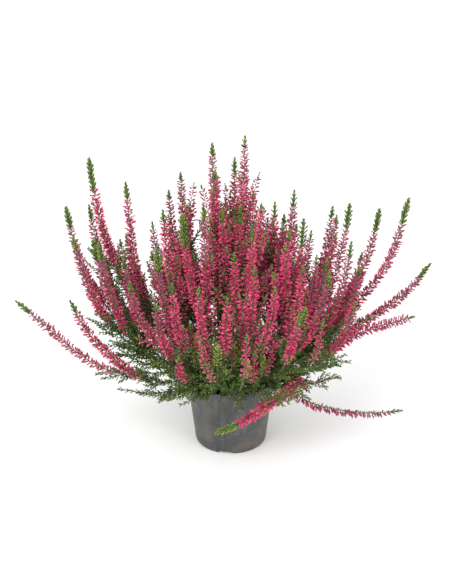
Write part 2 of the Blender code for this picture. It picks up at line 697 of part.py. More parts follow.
def leafy_twig(route, bare_to, rng):
    track = Track(route)
    tube = Tube(track, 0.0, ROOT_SHARE * TWIG_RADIUS, STEM_SIDES, turn=rng.uniform(0, math.tau))
    steps = max(1, round(bare_to / BARE_STEP))
    for count in range(1, steps + 1):
        tube.grow(bare_to * count / steps, TWIG_RADIUS)
    whorls = max(2, round((track.length - bare_to) / TWIG_PITCH))
    for count in range(whorls):
        low = bare_to + (track.length - bare_to) * count / whorls
        high = bare_to + (track.length - bare_to) * (count + 1) / whorls
        narrowing = 1.0 - TWIG_NARROWING * (count + 1) / whorls
        reach = NEEDLE_REACH * narrowing
        faces = tube.grow(high, TWIG_RADIUS * narrowing, twist=WHORL_TURN)
        tube.draw_out(faces, low, high, lambda: (reach * rng.uniform(*NEEDLE_EVENNESS), NEEDLE_RISE))
    tube.close(TWIG_TIP)
    return tube.bm


def trunk(place):
    line = np.array([(place.x, place.y, TRUNK_FOOT), (place.x, place.y, SOIL_CROWN_HEIGHT + 1),
                     (place.x * TRUNK_SPREAD, place.y * TRUNK_SPREAD, TRUNK_TOP)])
    track = Track(line)
    track.tangents[:] = (0, 0, 1)
    track.sides[:] = (0, 1, 0)
    tube = Tube(track, 0.0, TRUNK_RADIUS, TRUNK_SIDES)
    tube.grow(track.run[1], TRUNK_RADIUS)
    tube.grow(track.run[2], TRUNK_TAPER * TRUNK_RADIUS)
    tube.close(1.0)
    return tube.bm


def twig_routes(carriers, everything, rng):
    """Short leafy side twigs on the branches, kept only where they are clear of all other shoots."""
    made = []
    for carrier in carriers:
        if len(made) == TWIG_COUNT:
            break
        track = Track(carrier.route)
        for _ in range(TWIG_TRIES):
            foot = FOOT_SHARE * track.length
            steps = branch_steps(foot)
            start = foot * rng.randint(1, steps - 1) / steps
            centre, tangent, side = track.at(start)
            angle = rng.uniform(0, math.tau)
            outward = math.cos(angle) * side + math.sin(angle) * tangent.cross(side)
            length = rng.uniform(*TWIG_LENGTH)
            heading = (outward * 0.8 + tangent * 0.7).normalized()
            end = centre + heading * length + Vector((0, 0, rng.uniform(*TWIG_DROOP)))
            bend = centre + heading * 0.5 * length + tangent * 1.5
            route = smooth_route([centre, bend, end], TWIG_STATIONS)
            if clear_of_all(route, carrier, everything, made):
                made.append(route)
                carrier.twigs.append(route)
                break


def clear_of_all(route, carrier, everything, made):
    outer = route[1:]
    growing = TWIG_ROOM + TWIG_ROOM_GROWTH * np.arange(len(outer))
    room = np.minimum(NEEDLE_REACH + TWIG_ROOM, growing)[:, None]
    radial = np.hypot(outer[:, 0], outer[:, 1])
    near_rim = (radial < RIM_RADIUS + RIM_ROOM) & (outer[:, 2] < RIM_HEIGHT + RIM_ROOM)
    if near_rim.any() or (outer[:, 2] < LOWEST_TWIG).any():
        return False
    for other, line, reach in everything:
        gaps = np.linalg.norm(outer[:, None, :] - line[None, :, :], axis=2) - reach[None, :]
        if other is carrier:
            too_near = gaps[3:] < TWIG_ROOM
        else:
            too_near = gaps < room
        if too_near.any():
            return False
    for line in made:
        if (np.linalg.norm(outer[:, None, :] - line[None, :, :], axis=2) < 2 * NEEDLE_REACH + 1).any():
            return False
    return True


def front_first(shoots):
    return sorted(shoots, key=lambda shoot: shoot.tip[1] - 0.3 * abs(shoot.tip[0]))


def lay_out():
    """Every shoot with its final route: all the budded ones, the budless ones, and those with a node."""
    shoots, leafy = all_shoots()
    pair_up(shoots)
    follow_first(shoots)
    bend_clear(shoots + leafy)
    mains = [shoot for shoot in shoots if shoot.first is None]
    everything = [(shoot, shoot.route, shoot.reach()) for shoot in shoots + leafy]
    twig_routes(front_first(mains), everything, random.Random(TWIG_SEED))
    return shoots, leafy, mains


def foot_of(shoot):
    """How far along a shoot its branch ends and its spike begins."""
    return FOOT_SHARE * length_of(shoot.route)


def make_spike(number, shoot, shoots):
    name = f"spike_{number:02d}"
    rng = random.Random(1000 * BUD_SEED + number)
    fork = FORK_SHARE * length_of(shoot.route)
    grown = spike(shoot, foot_of(shoot) + 0.5 * SEAT_GAP, fork, rng)
    node = place_object(name, grown, "flower_buds")
    sides = []
    for other in shoots:
        if other.first is shoot:
            side = spike(other, fork - FORK_SINK, 0.0, rng)
            sides.append(place_object(name + "_side", side, "flower_buds"))
    if sides:
        union(node, sides, name)


def make_woody_stem(number, place, mains, leafy):
    name = f"woody_stem_{number}"
    rng = random.Random(1000 * TWIG_SEED + number)
    node = place_object(name, trunk(place), "leafy_wood")
    pieces = []
    for shoot in mains:
        if shoot.stem == number:
            branch = bare_branch(shoot, foot_of(shoot) - 0.5 * SEAT_GAP)
            pieces.append(place_object("branch", branch, None))
            pieces += [place_object("twig", leafy_twig(route, TWIG_BARE, rng), None) for route in shoot.twigs]
    for shoot in leafy:
        if shoot.stem == number:
            bare = SHOOT_BARE_SHARE * length_of(shoot.route)
            pieces.append(place_object("shoot", leafy_twig(shoot.route, bare, rng), None))
    union(node, pieces, name)


def build():
    clear_scene()
    make_pot()
    make_soil()
    shoots, leafy, mains = lay_out()
    for number, shoot in enumerate(mains, start=1):
        make_spike(number, shoot, shoots)
    for number, place in enumerate(stem_places()):
        make_woody_stem(number, place, mains, leafy)


build()
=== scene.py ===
"""A potted heather: the looks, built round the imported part.

Every flower spike is grown along the same line as its solid: a thin stem, buds set round it, and a
green tip of overlapping leaves. The woody stems get bark and feathery green twigs. The pot is a
smooth turned one, and the peat is strewn with crumbs. The shapes are made in millimetres and each
finished mesh is brought down to metres. The camera, the lights and the materials are in metres.
"""

import math
import random
from collections import namedtuple

import bmesh
import bpy
import numpy as np
from mathutils import Matrix, Vector


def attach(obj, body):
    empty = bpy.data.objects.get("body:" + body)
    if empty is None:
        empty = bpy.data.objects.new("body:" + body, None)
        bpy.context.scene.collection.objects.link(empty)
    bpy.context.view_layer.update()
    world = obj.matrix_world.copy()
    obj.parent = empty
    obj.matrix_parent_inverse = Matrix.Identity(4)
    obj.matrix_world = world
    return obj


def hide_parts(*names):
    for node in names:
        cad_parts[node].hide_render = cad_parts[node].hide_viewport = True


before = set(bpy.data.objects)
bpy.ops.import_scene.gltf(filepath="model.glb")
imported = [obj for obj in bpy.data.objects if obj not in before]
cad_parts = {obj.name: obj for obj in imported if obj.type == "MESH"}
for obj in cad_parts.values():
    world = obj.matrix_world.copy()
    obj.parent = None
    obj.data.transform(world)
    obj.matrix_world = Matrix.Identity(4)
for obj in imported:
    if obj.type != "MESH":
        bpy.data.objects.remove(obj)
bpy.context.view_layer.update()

METRES_PER_MM = 0.001

# The camera: where the photograph was taken from
PHOTO_WIDTH = 452
MM_A_PIXEL = 1.135
CAMERA_AIM = Vector((-0.0057, 0.0, 0.1895))
CAMERA_DISTANCE = 1.5
CAMERA_ELEVATION = math.radians(25)
SENSOR_WIDTH = 36.0

# Studio: each light's place, its width and its power
FLOOR_HALF_WIDTH = 6.0
SKY_STRENGTH = 1.05
LIGHT_AIM = (0, 0, 0.15)
KEY_LIGHT = ((-0.9, -1.5, 1.7), 1.2, 26.0)
FILL_LIGHT = ((1.3, -1.2, 1.0), 1.4, 10.0)

# Pot
RIM_RADIUS = 52.5
RIM_HEIGHT = 84.0
RIM_LIP_DEPTH = 6.5
RIM_LIP_REACH = 1.5
WALL = 1.3
BASE_RADIUS = 42.4
BASE_ROUND_HEIGHT = 8.0
FOOT_OUTER_RADIUS = 39.8
FOOT_INNER_RADIUS = 33.0
FOOT_HEIGHT = 4.8
POT_SIDES = 96
EDGE_STEPS = 6                # in the rounded bottom edge
MID_WALL_HEIGHT = 45.0
NOTCH_COUNT = 3
NOTCH_WIDTH = 18.0
NOTCH_HEIGHT = 4.2
NOTCH_DEPTH = 16.0            # across the foot ring
FIRST_NOTCH_ANGLE = math.radians(-99)
DRAIN_COUNT = 6
DRAIN_RADIUS = 3.5
DRAIN_RING_RADIUS = 19.0
DRAIN_SIDES = 24
DRAIN_DEPTH = 10.0
SHARP_ANGLE = math.radians(38)
SMUDGE_PLACE = (0.0180, -0.0385, 0.0100)     # a dusty patch low on the front, in metres
SMUDGE_STRETCH = (0.014, 0.014, 0.009)

# Peat
SEAT_GAP = 0.3
SOIL_EDGE_HEIGHT = 73.0
SOIL_CROWN_HEIGHT = 76.0
SOIL_FLAT_RADIUS = 27.0
SOIL_SHOULDER = 1.8           # above the edge, half way in to the flat middle
PEAT_SIDES = 48
CRUMBS = 520
CRUMB_SIZE = (0.7, 2.6)
CRUMB_STRETCH = ((0.7, 1.4), (0.7, 1.2), (0.45, 0.8))
CRUMB_ROUGHNESS = (0.8, 1.15)
CRUMB_MARGIN = 1.5            # from the pot's wall
CRUMB_SEED = 3

# Stems and shoots, laid out as in the solids
RING_STEMS = 6
RING_STEM_RADIUS = 20.0
FIRST_STEM_ANGLE = math.radians(-90)
MIDDLE_STEM_REACH = 46.0      # shoots with their tips nearer the axis grow from the middle stem
TRUNK_RADIUS = 2.6
TRUNK_HEIGHTS = (52.0, 70.0)  # two points of its line inside the peat
TRUNK_TOP = 92.0
TRUNK_TAPER = 0.75
TRUNK_SPREAD = 1.05           # how far out a stem's top stands, against its foot
BRANCH_START = (80.5, 90.5)   # the shoots leave their stems between these heights
FAR_OUT = 120.0               # an upright shoot this far out starts lowest
START_LEVELS = 5              # neighbours start at different levels
START_STAGGER = 0.53          # this far apart
START_OFFSET = 0.9            # from the middle of the stem
SHOOT_STATIONS = 28
CURVE_STEPS = 24
SPREAD = 0.90                 # an upright shoot bends up at this share of its way out
LIFT = 0.20                   # and of its way up
FOOT_SHARE = 0.27             # the share of a shoot that is branch, below its spike
FORK_SHARE = 0.31             # where a second shoot of a node leaves the first one
FORK_END_SHARE = 0.48         # and where it has its own route
SPIKE_NODES = 51
CLEARANCE = 0.7               # wanted between the buds or leaves of two shoots
STEM_RADIUS = 1.35
BARE_CLEARANCE = 0.8
LEAF_CLEARANCE = 0.5
LEAFY_SHARE = 0.75            # the share of a budless shoot that has needles
BUD_REACH = 6.4               # out from the shoot's line
TIP_LEAF_REACH = 3.4
NEEDLE_REACH = 4.3
NEIGHBOUR_MARGIN = 14.0       # only places nearer than this to touching are watched
SPREAD_ROUNDS = 140
CLOSE_ENOUGH = 0.05           # an overlap that may stay
PUSH_SHARE = 0.25             # of an overlap, in each round
LONGEST_PUSH = 2.0
SMOOTHINGS = 2
TINY = 1e-6
SHARED_START = 0.12           # up to this share, the shoots of one stem may touch
FIXED_START = 0.08            # up to this share, a shoot stays where it is
FREEING_SHARE = 0.2           # and over this further share it comes free
FRAME_HINT = (0.31, 0.83, 0.46)     # any direction that no route runs along

# Upright shoots: tip x, y, z, then the length that carries buds and the length of the green tip
UPRIGHT_SHOOTS = [
    (-158, 30, 341, 90, 40), (-160, 62, 275, 60, 20), (-183, 5, 293, 95, 28), (-172, -34, 275, 95, 20),
    (-154, -4, 257, 75, 28), (-141, -38, 269, 100, 22), (-122, 60, 238, 70, 15), (-112, 25, 314, 130, 22),
    (-115, -25, 243, 80, 15), (-113, -72, 232, 85, 15), (-95, 0, 235, 70, 12), (-80, -60, 270, 110, 30),
    (-82, -112, 227, 75, 12), (-57, 45, 319, 80, 12), (-74, 72, 284, 80, 12), (-75, -12, 296, 85, 15),
    (-57, -40, 301, 110, 42), (-52, 2, 286, 55, 40), (-52, 92, 259, 80, 14),
    (-30, -45, 315, 105, 20), (-62, -92, 245, 90, 15), (-33, -108, 246, 90, 12),
    (-38, -130, 198, 60, 10), (-21, 40, 355, 110, 16), (-18, 10, 331, 75, 12), (-12, 84, 274, 60, 12),
    (-10, -22, 300, 65, 16), (4, 58, 332, 80, 20), (15, 27, 368, 100, 15), (14, -6, 300, 60, 24),
    (-3, -112, 233, 80, 10), (0, -58, 262, 90, 12), (26, 82, 282, 60, 10), (36, -28, 300, 75, 12),
    (22, -60, 298, 90, 22), (24, -88, 260, 90, 12), (46, -70, 277, 95, 12), (16, -136, 206, 60, 10),
    (46, 38, 286, 60, 20), (44, 105, 238, 80, 12), (62, 66, 260, 55, 14), (60, -46, 285, 85, 14),
    (50, -108, 244, 85, 10), (70, 12, 310, 90, 20), (79, -28, 292, 60, 36),
    (80, 92, 234, 75, 12), (76, -84, 261, 90, 12), (92, -118, 213, 60, 12),
    (92, -56, 261, 95, 12), (114, 20, 288, 95, 15), (122, 58, 261, 85, 12), (106, -38, 248, 80, 18),
    (108, -82, 252, 85, 22), (130, -8, 302, 120, 30), (130, -44, 272, 100, 20),
    (134, -76, 215, 70, 12), (142, -26, 231, 70, 12), (150, 22, 204, 60, 12), (166, 15, 287, 95, 30),
    (-132, 95, 215, 70, 12), (-95, 122, 228, 70, 12), (-58, 140, 220, 70, 12), (-20, 126, 240, 75, 12),
    (15, 142, 222, 70, 12), (52, 138, 226, 70, 12), (94, 126, 216, 70, 12), (126, 98, 222, 70, 12),
    (154, 60, 214, 70, 12), (-16, -96, 186, 60, 10), (22, -104, 168, 50, 10), (2, -82, 205, 70, 10),
    (-48, -72, 185, 60, 10), (46, -88, 184, 60, 10),
]

# Wild shoots, which lean out, droop or hang: the points they pass, the last being the tip, then the
# same two lengths
WILD_SHOOTS = [
    ([(60, -3, 100), (101, -4, 122), (143, -5, 178), (178, -3, 232), (196, 0, 305)], 130, 32),
    ([(70, 18, 97), (115, 28, 104), (152, 36, 130), (205, 50, 164), (235, 56, 202)], 150, 24),
    ([(60, -22, 106), (110, -38, 132), (143, -45, 160), (187, -50, 178), (204, -52, 184)], 110, 8),
    ([(56, -28, 92), (76, -34, 74), (98, -38, 64), (133, -40, 57), (170, -40, 55), (199, -40, 58)], 120, 16),
    ([(50, -36, 104), (72, -50, 110), (72, -64, 105), (56, -72, 95), (36, -74, 80), (12, -72, 61),
      (-20, -66, 42)], 75, 34),
    ([(-70, -22, 97), (-133, -38, 108), (-170, -46, 134), (-203, -53, 171), (-236, -60, 208)], 130, 22),
    ([(-50, -34, 96), (-86, -50, 98), (-115, -54, 118), (-154, -52, 157), (-178, -50, 204)], 110, 18),
    ([(50, -70, 120), (60, -105, 160), (66, -140, 205), (76, -148, 242)], 80, 25),
    ([(-40, -70, 110), (-55, -102, 140), (-56, -114, 170)], 45, 12),
    ([(-10, -60, 108), (-16, -100, 135), (-14, -134, 192)], 0, 40),
    ([(40, 70, 105), (75, 130, 125), (92, 148, 168)], 60, 12),
    ([(-45, 60, 105), (-80, 110, 125), (-105, 146, 165)], 60, 12),
]

LEVEL_SHOOT = 3               # among the wild shoots, the one whose buds hang on its lower side
HANGING_SHOOT = 4
FORWARD_SHOOT = 7
BUDLESS_SHOOT = 9

# Leafy shoots without buds: the points they pass, the last being the tip
LEAFY_SHOOTS = [
    [(60, -55, 112), (90, -78, 138), (112, -92, 158)],
    [(58, -48, 97), (90, -62, 106), (119, -72, 120)],
    [(-45, -34, 93), (-84, -48, 86), (-126, -54, 94)],
    [(-42, -44, 93), (-72, -62, 90), (-104, -70, 98)],
    [(-34, -50, 93), (-58, -68, 92), (-80, -80, 94)],
    [(-24, -54, 94), (-40, -70, 93), (-56, -82, 90)],
    [(24, -62, 98), (50, -92, 104), (78, -104, 120)],
    [(-66, 8, 96), (-98, 14, 92), (-134, 18, 104)],
    [(62, 20, 96), (92, 34, 92), (122, 44, 100)],
    [(-30, 58, 94), (-48, 88, 90), (-66, 112, 100)],
    [(30, 60, 94), (46, 92, 92), (56, 118, 104)],
    [(0, 64, 96), (-4, 98, 96), (-8, 126, 112)],
    [(-14, -46, 100), (-19, -59, 126), (-17, -67, 158)],
    [(3, -50, 106), (3, -62, 130), (1, -70, 160)],
    [(15, -50, 106), (18, -66, 122), (17, -79, 145)],
    [(-34, -30, 104), (-41, -44, 132), (-38, -50, 164)],
    [(32, -36, 102), (38, -60, 124), (34, -70, 150)],
    [(-6, -20, 110), (-10, -34, 148)],
    [(8, -16, 112), (16, -24, 150)],
]

# Buds, in rings round the spike
RING_PITCH = 3.4              # along a spike, from one ring of buds to the next
RING_BUDS = 4
RING_JITTER = 0.5             # of a bud along the spike, either way
RING_TURN = 0.35              # and round it, in radians
BUD_LENGTH = (5.4, 7.4)
BUD_WIDTH = (0.85, 1.10)      # against the pattern's own width
BUD_LEAN = (50, 84)           # degrees from the spike's line
BUD_STALK = (0.3, 1.2)
LOWEST_BUD_SIZE = 0.78        # the buds grow from this to full size a little way up
BUD_GROWTH = 2.0
SMALLER_FROM = 0.75           # from this share of their stretch on, they get smaller again
SMALLER_BY = 0.25
CLOSING_FROM = 0.7            # and from this share on, they lean out less
CLOSING_LEAN = 18
PLUMP_SHARE = 0.4
TINT_SPREAD = 0.25
OPEN_FROM = 0.05              # open buds stand between these shares of the stretch
OPEN_TO = 0.85
PETALS = 4
PETAL_LENGTH = 6.0
PETAL_WIDTH = 0.95
PETAL_SPLAY = 0.42
PETAL_FLATNESS = 0.5
BRACT_LENGTH = (2.2, 3.8)
BRACT_LEAN = (35, 75)
BRACT_WIDTH = 0.52
BRACT_AGES = (0.2, 0.7)
BRACT_DROP = 0.8              # how far below its bud a bract sits
BRACT_TURN = 0.5
GOLDEN_TURN = math.radians(137.5)
SPIKE_SEED = 21
FLOWER_STEM_RADIUS = (0.75, 0.38)
FLOWER_STEM_STEP = 8.0
FLOWER_STEM_SIDES = 5
FLOWER_STEM_AGES = (0.2, 1.0)
LOWEST_BUD = 2.0              # above the spike's foot
SPIKE_STEM_END = 0.8          # short of the shoot's tip
SPIKE_TWIGS_START = 1.0       # above the spike's foot
SPIKE_TWIGS_STOP = 2.0        # short of its lowest buds
FORK_OVERLAP = 1.0            # a forked shoot starts this far inside the one that bears it
LEVEL_TOP = 0.15              # a bud that points up by more than this is on the level shoot's upper side
LOW_SHOOT_TOP = 215.0         # a front shoot that ends below this has few and faded buds

# How a shoot carries its buds: their size and spacing, the share that is open, their middle tint, and
# their age at the low and the high end of the stretch (0 faded, up to a half vivid, 1 young and mauve)
Habit = namedtuple("Habit", "size spacing open_share tint ages")
PLAIN = Habit(1.0, 1.0, 0.22, 0.45, (0.25, 1.0))
CENTRE = Habit(1.0, 0.95, 0.30, 0.62, (0.05, 0.50))
VIVID = Habit(1.22, 1.25, 0.70, 0.40, (0.30, 0.50))
CRIMSON = Habit(1.08, 1.0, 0.30, 0.42, (0.30, 0.62))
LOW = Habit(0.85, 1.5, 0.15, 0.40, (0.0, 0.45))
WILD_HABITS = [               # one for each of the wild shoots
    Habit(1.05, 0.95, 0.30, 0.40, (0.15, 0.95)), Habit(1.10, 0.80, 0.30, 0.42, (0.15, 0.95)),
    Habit(1.10, 0.80, 0.30, 0.44, (0.15, 0.95)), Habit(1.12, 0.75, 0.05, 0.22, (0.50, 0.95)),
    Habit(1.22, 0.75, 0.50, 0.58, (0.04, 0.36)), Habit(1.00, 1.10, 0.20, 0.34, (0.0, 1.0)),
    Habit(1.10, 1.00, 0.40, 0.46, (0.1, 0.8)), Habit(1.00, 1.00, 0.35, 0.46, (0.05, 0.7)),
    Habit(0.95, 1.20, 0.20, 0.40, (0.0, 0.6)), PLAIN, PLAIN, PLAIN,
]
VIVID_SHOOT = 0               # among the upright shoots
CRIMSON_SHOOT = 7
CENTRE_REACH = 80.0           # an upright shoot is a central one within this far sideways
CENTRE_BACK = 60.0            # this far back
CENTRE_TOP = 305.0            # and up to this height

# The hanging shoot's own sprigs and twigs
HANGING_EXTRA_BUDS = 30.0
HANGING_SPRIGS = 12
HANGING_SPRIGS_FROM = 0.05    # of its budded stretch
HANGING_SPRIGS_OVER = 0.60
HANGING_SPRIG_LEAN = (22, 46)
HANGING_SPRIG_LENGTH = (18, 27)
HANGING_TWIGS = 4
HANGING_TWIGS_FROM = 52.0     # below the foot of its green tip
HANGING_TWIG_STEP = 9.0
HANGING_TURNS = 12            # directions tried, to find the one that points down
HANGING_TWIG_LEAN = 1.1
HANGING_TWIG_TURN = 0.5
HANGING_TWIG_LENGTH = (11, 19)
HANGING_TWIG_RADIUS = 0.4
HANGING_RISES = (-1, -3)      # of its sprigs and of its twigs

# Leafy tips, in rings of four leaves: two outer ones, and two smaller ones between them
LeafLook = namedtuple("LeafLook", "lengths leans width")
OUTER_LEAF = LeafLook((6.1, 7.3), (34, 44), 1.5)
INNER_LEAF = LeafLook((4.6, 5.4), (10, 20), 1.2)
TIP_RING_PITCH = 2.7
TIP_RING_LEAVES = 4
TIP_FEWEST_RINGS = 3
TIP_LEAF_TURN = 0.2           # jitter round the stem, either way
TIP_LEAF_FLATNESS = 0.55
TIP_CLOSES_OVER = 13.0        # the last stretch of a tip, where its leaves shorten and close up
TIP_POINT = 0.40              # to this share
TIP_START = 1.0               # how far below the green stretch the leaves begin
TIP_END = 2.0                 # and how far below the shoot's end the last ring sits
TIP_TINTS = (0.0, 0.72)
SPRIG_TIP_TINTS = (0.2, 0.90)
# The bright shoots' tints: fresh yellow-green growth, brightened further with painted light at the top of
# the new-growth ramp.
FRESH_AND_PAINTED_LIGHT_TINTS = (0.92, 1.0)
BUSHY_TIP = 24.5              # a green tip longer than this is bushy
BUSHY_FULLNESS = 1.22
FULL_TIP = 1.3                # tips fuller than this have their leaves closer
FULL_TIP_CLOSER = 0.72
FULL_WILD_TIPS = {HANGING_SHOOT: 1.45, FORWARD_SHOOT: 1.4}
FRESH_WILD_TIPS = {HANGING_SHOOT: (0.25, 0.75), BUDLESS_SHOOT: (0.45, 0.90)}

# Green twigs: their lean from what bears them, their length, their rise, and the step to the next one
TwigRule = namedtuple("TwigRule", "leans lengths rises steps")
TWIGS_ON_SPIKES = TwigRule((16, 46), (20, 42), (-1, 5), (3.0, 5.6))
TWIGS_ON_BRANCHES = TwigRule((30, 70), (14, 32), (-5, 3), (3.0, 6.0))
TWIGS_ON_SPARSE = TwigRule((30, 60), (14, 26), 2, (3.5, 6.0))     # these all rise by the same
TWIGS_ON_LEAFY = TwigRule((28, 60), (10, 22), (-3, 2), (3.5, 6.5))
TWIG_SEED = 31
TWIG_LOWEST = 88.0            # twigs on the branches don't sag below this
TWIG_STATIONS = 6
TWIG_SAG = 0.15               # the share of a twig's rise that its middle has
TWIG_WANDER = 2.0
TWIG_RADIUS = 0.45
TWIG_TAPER = 0.4
TWIG_STEM_STEP = 9.0
TWIG_STEM_SIDES = 3
TWIG_STEM_AGES = (0.1, 0.6)
TWIG_TINTS = (0.0, 0.88)
TWIG_FRESHER = 0.35           # how much fresher a twig is at its end
TWIG_NARROWER = 0.4           # and how much shorter and closer its side shoots are
SIDE_SHOOT_LEAN = (36, 62)
SIDE_SHOOT_TURN = 0.4
SPIKE_TWIG_AGES = (0.0, 0.5)
LOW_SHOOT_TWIG_LENGTH = 0.55  # the low front shoots have shorter, darker and fewer twigs
LOW_SHOOT_TWIG_AGE = 0.3
LOW_SHOOT_TWIG_STEP = 2.4
BRANCH_RADIUS = 1.35
BRANCH_STEP = 6.0
BRANCH_SIDES = 6
BRANCH_TWIGS_FROM = 0.22      # of the branch
BRANCH_TWIG_RADIUS = 0.5
BRANCH_TWIG_AGES = (0.0, 0.45)
BRANCH_TWIG_BARE = 2.0
TRUNK_STEP = 3.0
TRUNK_SIDES = 10
TRUNK_STATIONS = 12

# Leafy shoots
LEAFY_RADIUS = 0.8
LEAFY_BARE = 0.22             # of the shoot
LEAFY_AGE = 0.35
UPRIGHT_LEAFY = 12            # from here on, the leafy shoots stand up and are bright
BRIGHT_AGE = 0.95
BRIGHT_TIP_FROM = 0.34        # of the shoot
BRIGHT_STEM_END = 1.0         # short of the shoot's tip
BRIGHT_FULLNESS = 1.2
BRIGHT_TWIGS_TO = 0.45
LEAFY_TWIGS_END = 5.0         # short of the tip of the other ones
SPARSE_LEAFY = (2, 3, 4, 5)   # the thin dark ones that hang out at the left, with longer side shoots
SPARSE_AGES = (0.1, 0.2)      # of the shoot and of its twigs
SPARSE_TWIGS_TO = 0.6
BACK_LEAFY = (9, 10, 11)      # the ones at the back, whose long twigs stand up behind the flowers
BACK_TWIG_LENGTH = 1.9
BACK_TWIG_RISE = 15.0
BUDDED_TWIG = 1               # the leafy shoot that carries a few small buds
TWIG_BUD_RINGS = 10
TWIG_BUDS_FROM = 0.4
TWIG_BUD_STEP = 0.055
TWIG_BUD_SHARE = 0.9          # they have the age of buds this far up
TWIG_BUD_SIZE = 0.7

# Skirt: short twigs of each outer stem that hide the peat and lean over the rim
SKIRT_TWIGS = 14
SKIRT_TURN = 0.9
SKIRT_LENGTH = (26, 46)
SKIRT_LOWEST = 79.0
SKIRT_RISE = (5.0, 20.0)
SKIRT_DROOP = (0.0, 9.0)
SKIRT_MIDDLE = 0.55
SKIRT_STATIONS = 8
SKIRT_AGES = (0.1, 0.5)
SKIRT_BARE = 10.0

# Side sprigs: short flowering shoots that fill the plant's middle
SPRIG_STEP = (5.2, 8.4)
SPRIG_LENGTH = (36, 62)
SPRIG_LEAN = (9, 24)
SPRIG_LIFT = 0.06             # how much a sprig rises, for each millimetre of its length
SPRIG_REACH = 0.9             # of the spike that is left above it
SPRIG_START = 8.0             # above the spike's foot
SPRIG_LOWEST = 112.0          # at the plant's axis
SPRIG_RISE = 0.36             # how much higher the lowest sprig is, for each millimetre further out
SPRIG_HIGHEST_START = 155.0
BEHIND = 25.0                 # shoots whose tips are further back than this are behind the others
BEHIND_SPRIG_LOWEST = (94.0, 0.16)
BEHIND_STEP = 0.62            # the sprigs there stand closer
SPRIG_FAR_OUT = 88.0          # further out than this, they are short and close to their spike
SPRIG_FAR_LENGTH = 30.0
SPRIG_FAR_LEAN = math.radians(10)
SPRIG_TURNS_IN = 45.0         # further out than this, the sprigs lean towards the plant's axis
SPRIG_OVERLAP = 0.25          # how far the sprigs climb beside the spike's own buds
SPRIG_STEM_END = 0.5          # short of the sprig's tip
SPRIG_RADII = (0.45, 0.28)
SPRIG_STEM_STEP = 12.0
SPRIG_STEM_SIDES = 3
SPRIG_STEM_AGES = (0.3, 0.9)
SPRIG_BARE = (0.10, 0.22)     # of the sprig
SPRIG_GREEN = (5.0, 11.0)
SPRIG_BUD_PITCH = 1.05
SPRIG_BUD_STALK = (0.2, 1.0)
SPRIG_BUD_SMALLER = 0.2
SPRIG_BUD_AGES = (0.12, 0.62)
SPRIG_VIVIDNESS = (0.58, 0.10)
SPRIG_BRACT_EVERY = 4
SPRIG_TIP_FULLNESS = 0.75


# Materials

def new_material(name, roughness, specular=0.5):
    made = bpy.data.materials.new(name)
    made.use_nodes = True
    shader = made.node_tree.nodes["Principled BSDF"]
    shader.inputs["Roughness"].default_value = roughness
    shader.inputs["Specular IOR Level"].default_value = specular
    return made, made.node_tree, shader


def feed(tree, socket, value):
    """Links a socket to another node's output, or sets it to a number or a colour."""
    if isinstance(value, bpy.types.NodeSocket):
        tree.links.new(value, socket)
    elif isinstance(value, tuple):
        socket.default_value = (*value, 1.0)
    else:
        socket.default_value = value


def attribute(tree, name):
    node = tree.nodes.new("ShaderNodeAttribute")
    node.attribute_name = name
    return node.outputs["Fac"]


def piece_place(tree, kind, stretch, centre=(0, 0, 0)):
    """The place on the piece as a vector, stretched for a pattern (POINT) or to a shape (TEXTURE)."""
    place = tree.nodes.new("ShaderNodeTexCoord")
    mapping = tree.nodes.new("ShaderNodeMapping")
    mapping.vector_type = kind
    mapping.inputs["Location"].default_value = centre
    mapping.inputs["Scale"].default_value = stretch
    tree.links.new(place.outputs["Object"], mapping.inputs["Vector"])
    return mapping.outputs["Vector"]


def object_noise(tree, scale, detail=3.0, stretch=(1, 1, 1)):
    noise = tree.nodes.new("ShaderNodeTexNoise")
    noise.inputs["Scale"].default_value = scale
    noise.inputs["Detail"].default_value = detail
    tree.links.new(piece_place(tree, "POINT", stretch), noise.inputs["Vector"])
    return noise.outputs["Fac"]


def ramp(tree, factor, stops):
    node = tree.nodes.new("ShaderNodeValToRGB")
    bar = node.color_ramp.elements
    bar[0].position, bar[0].color = stops[0][0], (*stops[0][1], 1.0)
    bar[1].position, bar[1].color = stops[-1][0], (*stops[-1][1], 1.0)
    for position, colour in stops[1:-1]:
        bar.new(position).color = (*colour, 1.0)
    tree.links.new(factor, node.inputs["Fac"])
    return node.outputs["Color"]


def mix(tree, factor, first, second):
    node = tree.nodes.new("ShaderNodeMix")
    node.data_type = "RGBA"
    for index, value in ((0, factor), (6, first), (7, second)):
        feed(tree, node.inputs[index], value)
    return node.outputs[2]


def spread(tree, value, low, high, to_low=0.0, to_high=1.0):
    node = tree.nodes.new("ShaderNodeMapRange")
    node.inputs["From Min"].default_value = low
    node.inputs["From Max"].default_value = high
    node.inputs["To Min"].default_value = to_low
    node.inputs["To Max"].default_value = to_high
    tree.links.new(value, node.inputs["Value"])
    return node.outputs["Result"]


def product(tree, first, second):
    node = tree.nodes.new("ShaderNodeMath")
    node.operation = "MULTIPLY"
    node.use_clamp = True
    feed(tree, node.inputs[0], first)
    feed(tree, node.inputs[1], second)
    return node.outputs[0]


def bump(tree, shader, height, strength, distance):
    node = tree.nodes.new("ShaderNodeBump")
    node.inputs["Strength"].default_value = strength
    node.inputs["Distance"].default_value = distance
    tree.links.new(height, node.inputs["Height"])
    tree.links.new(node.outputs["Normal"], shader.inputs["Normal"])


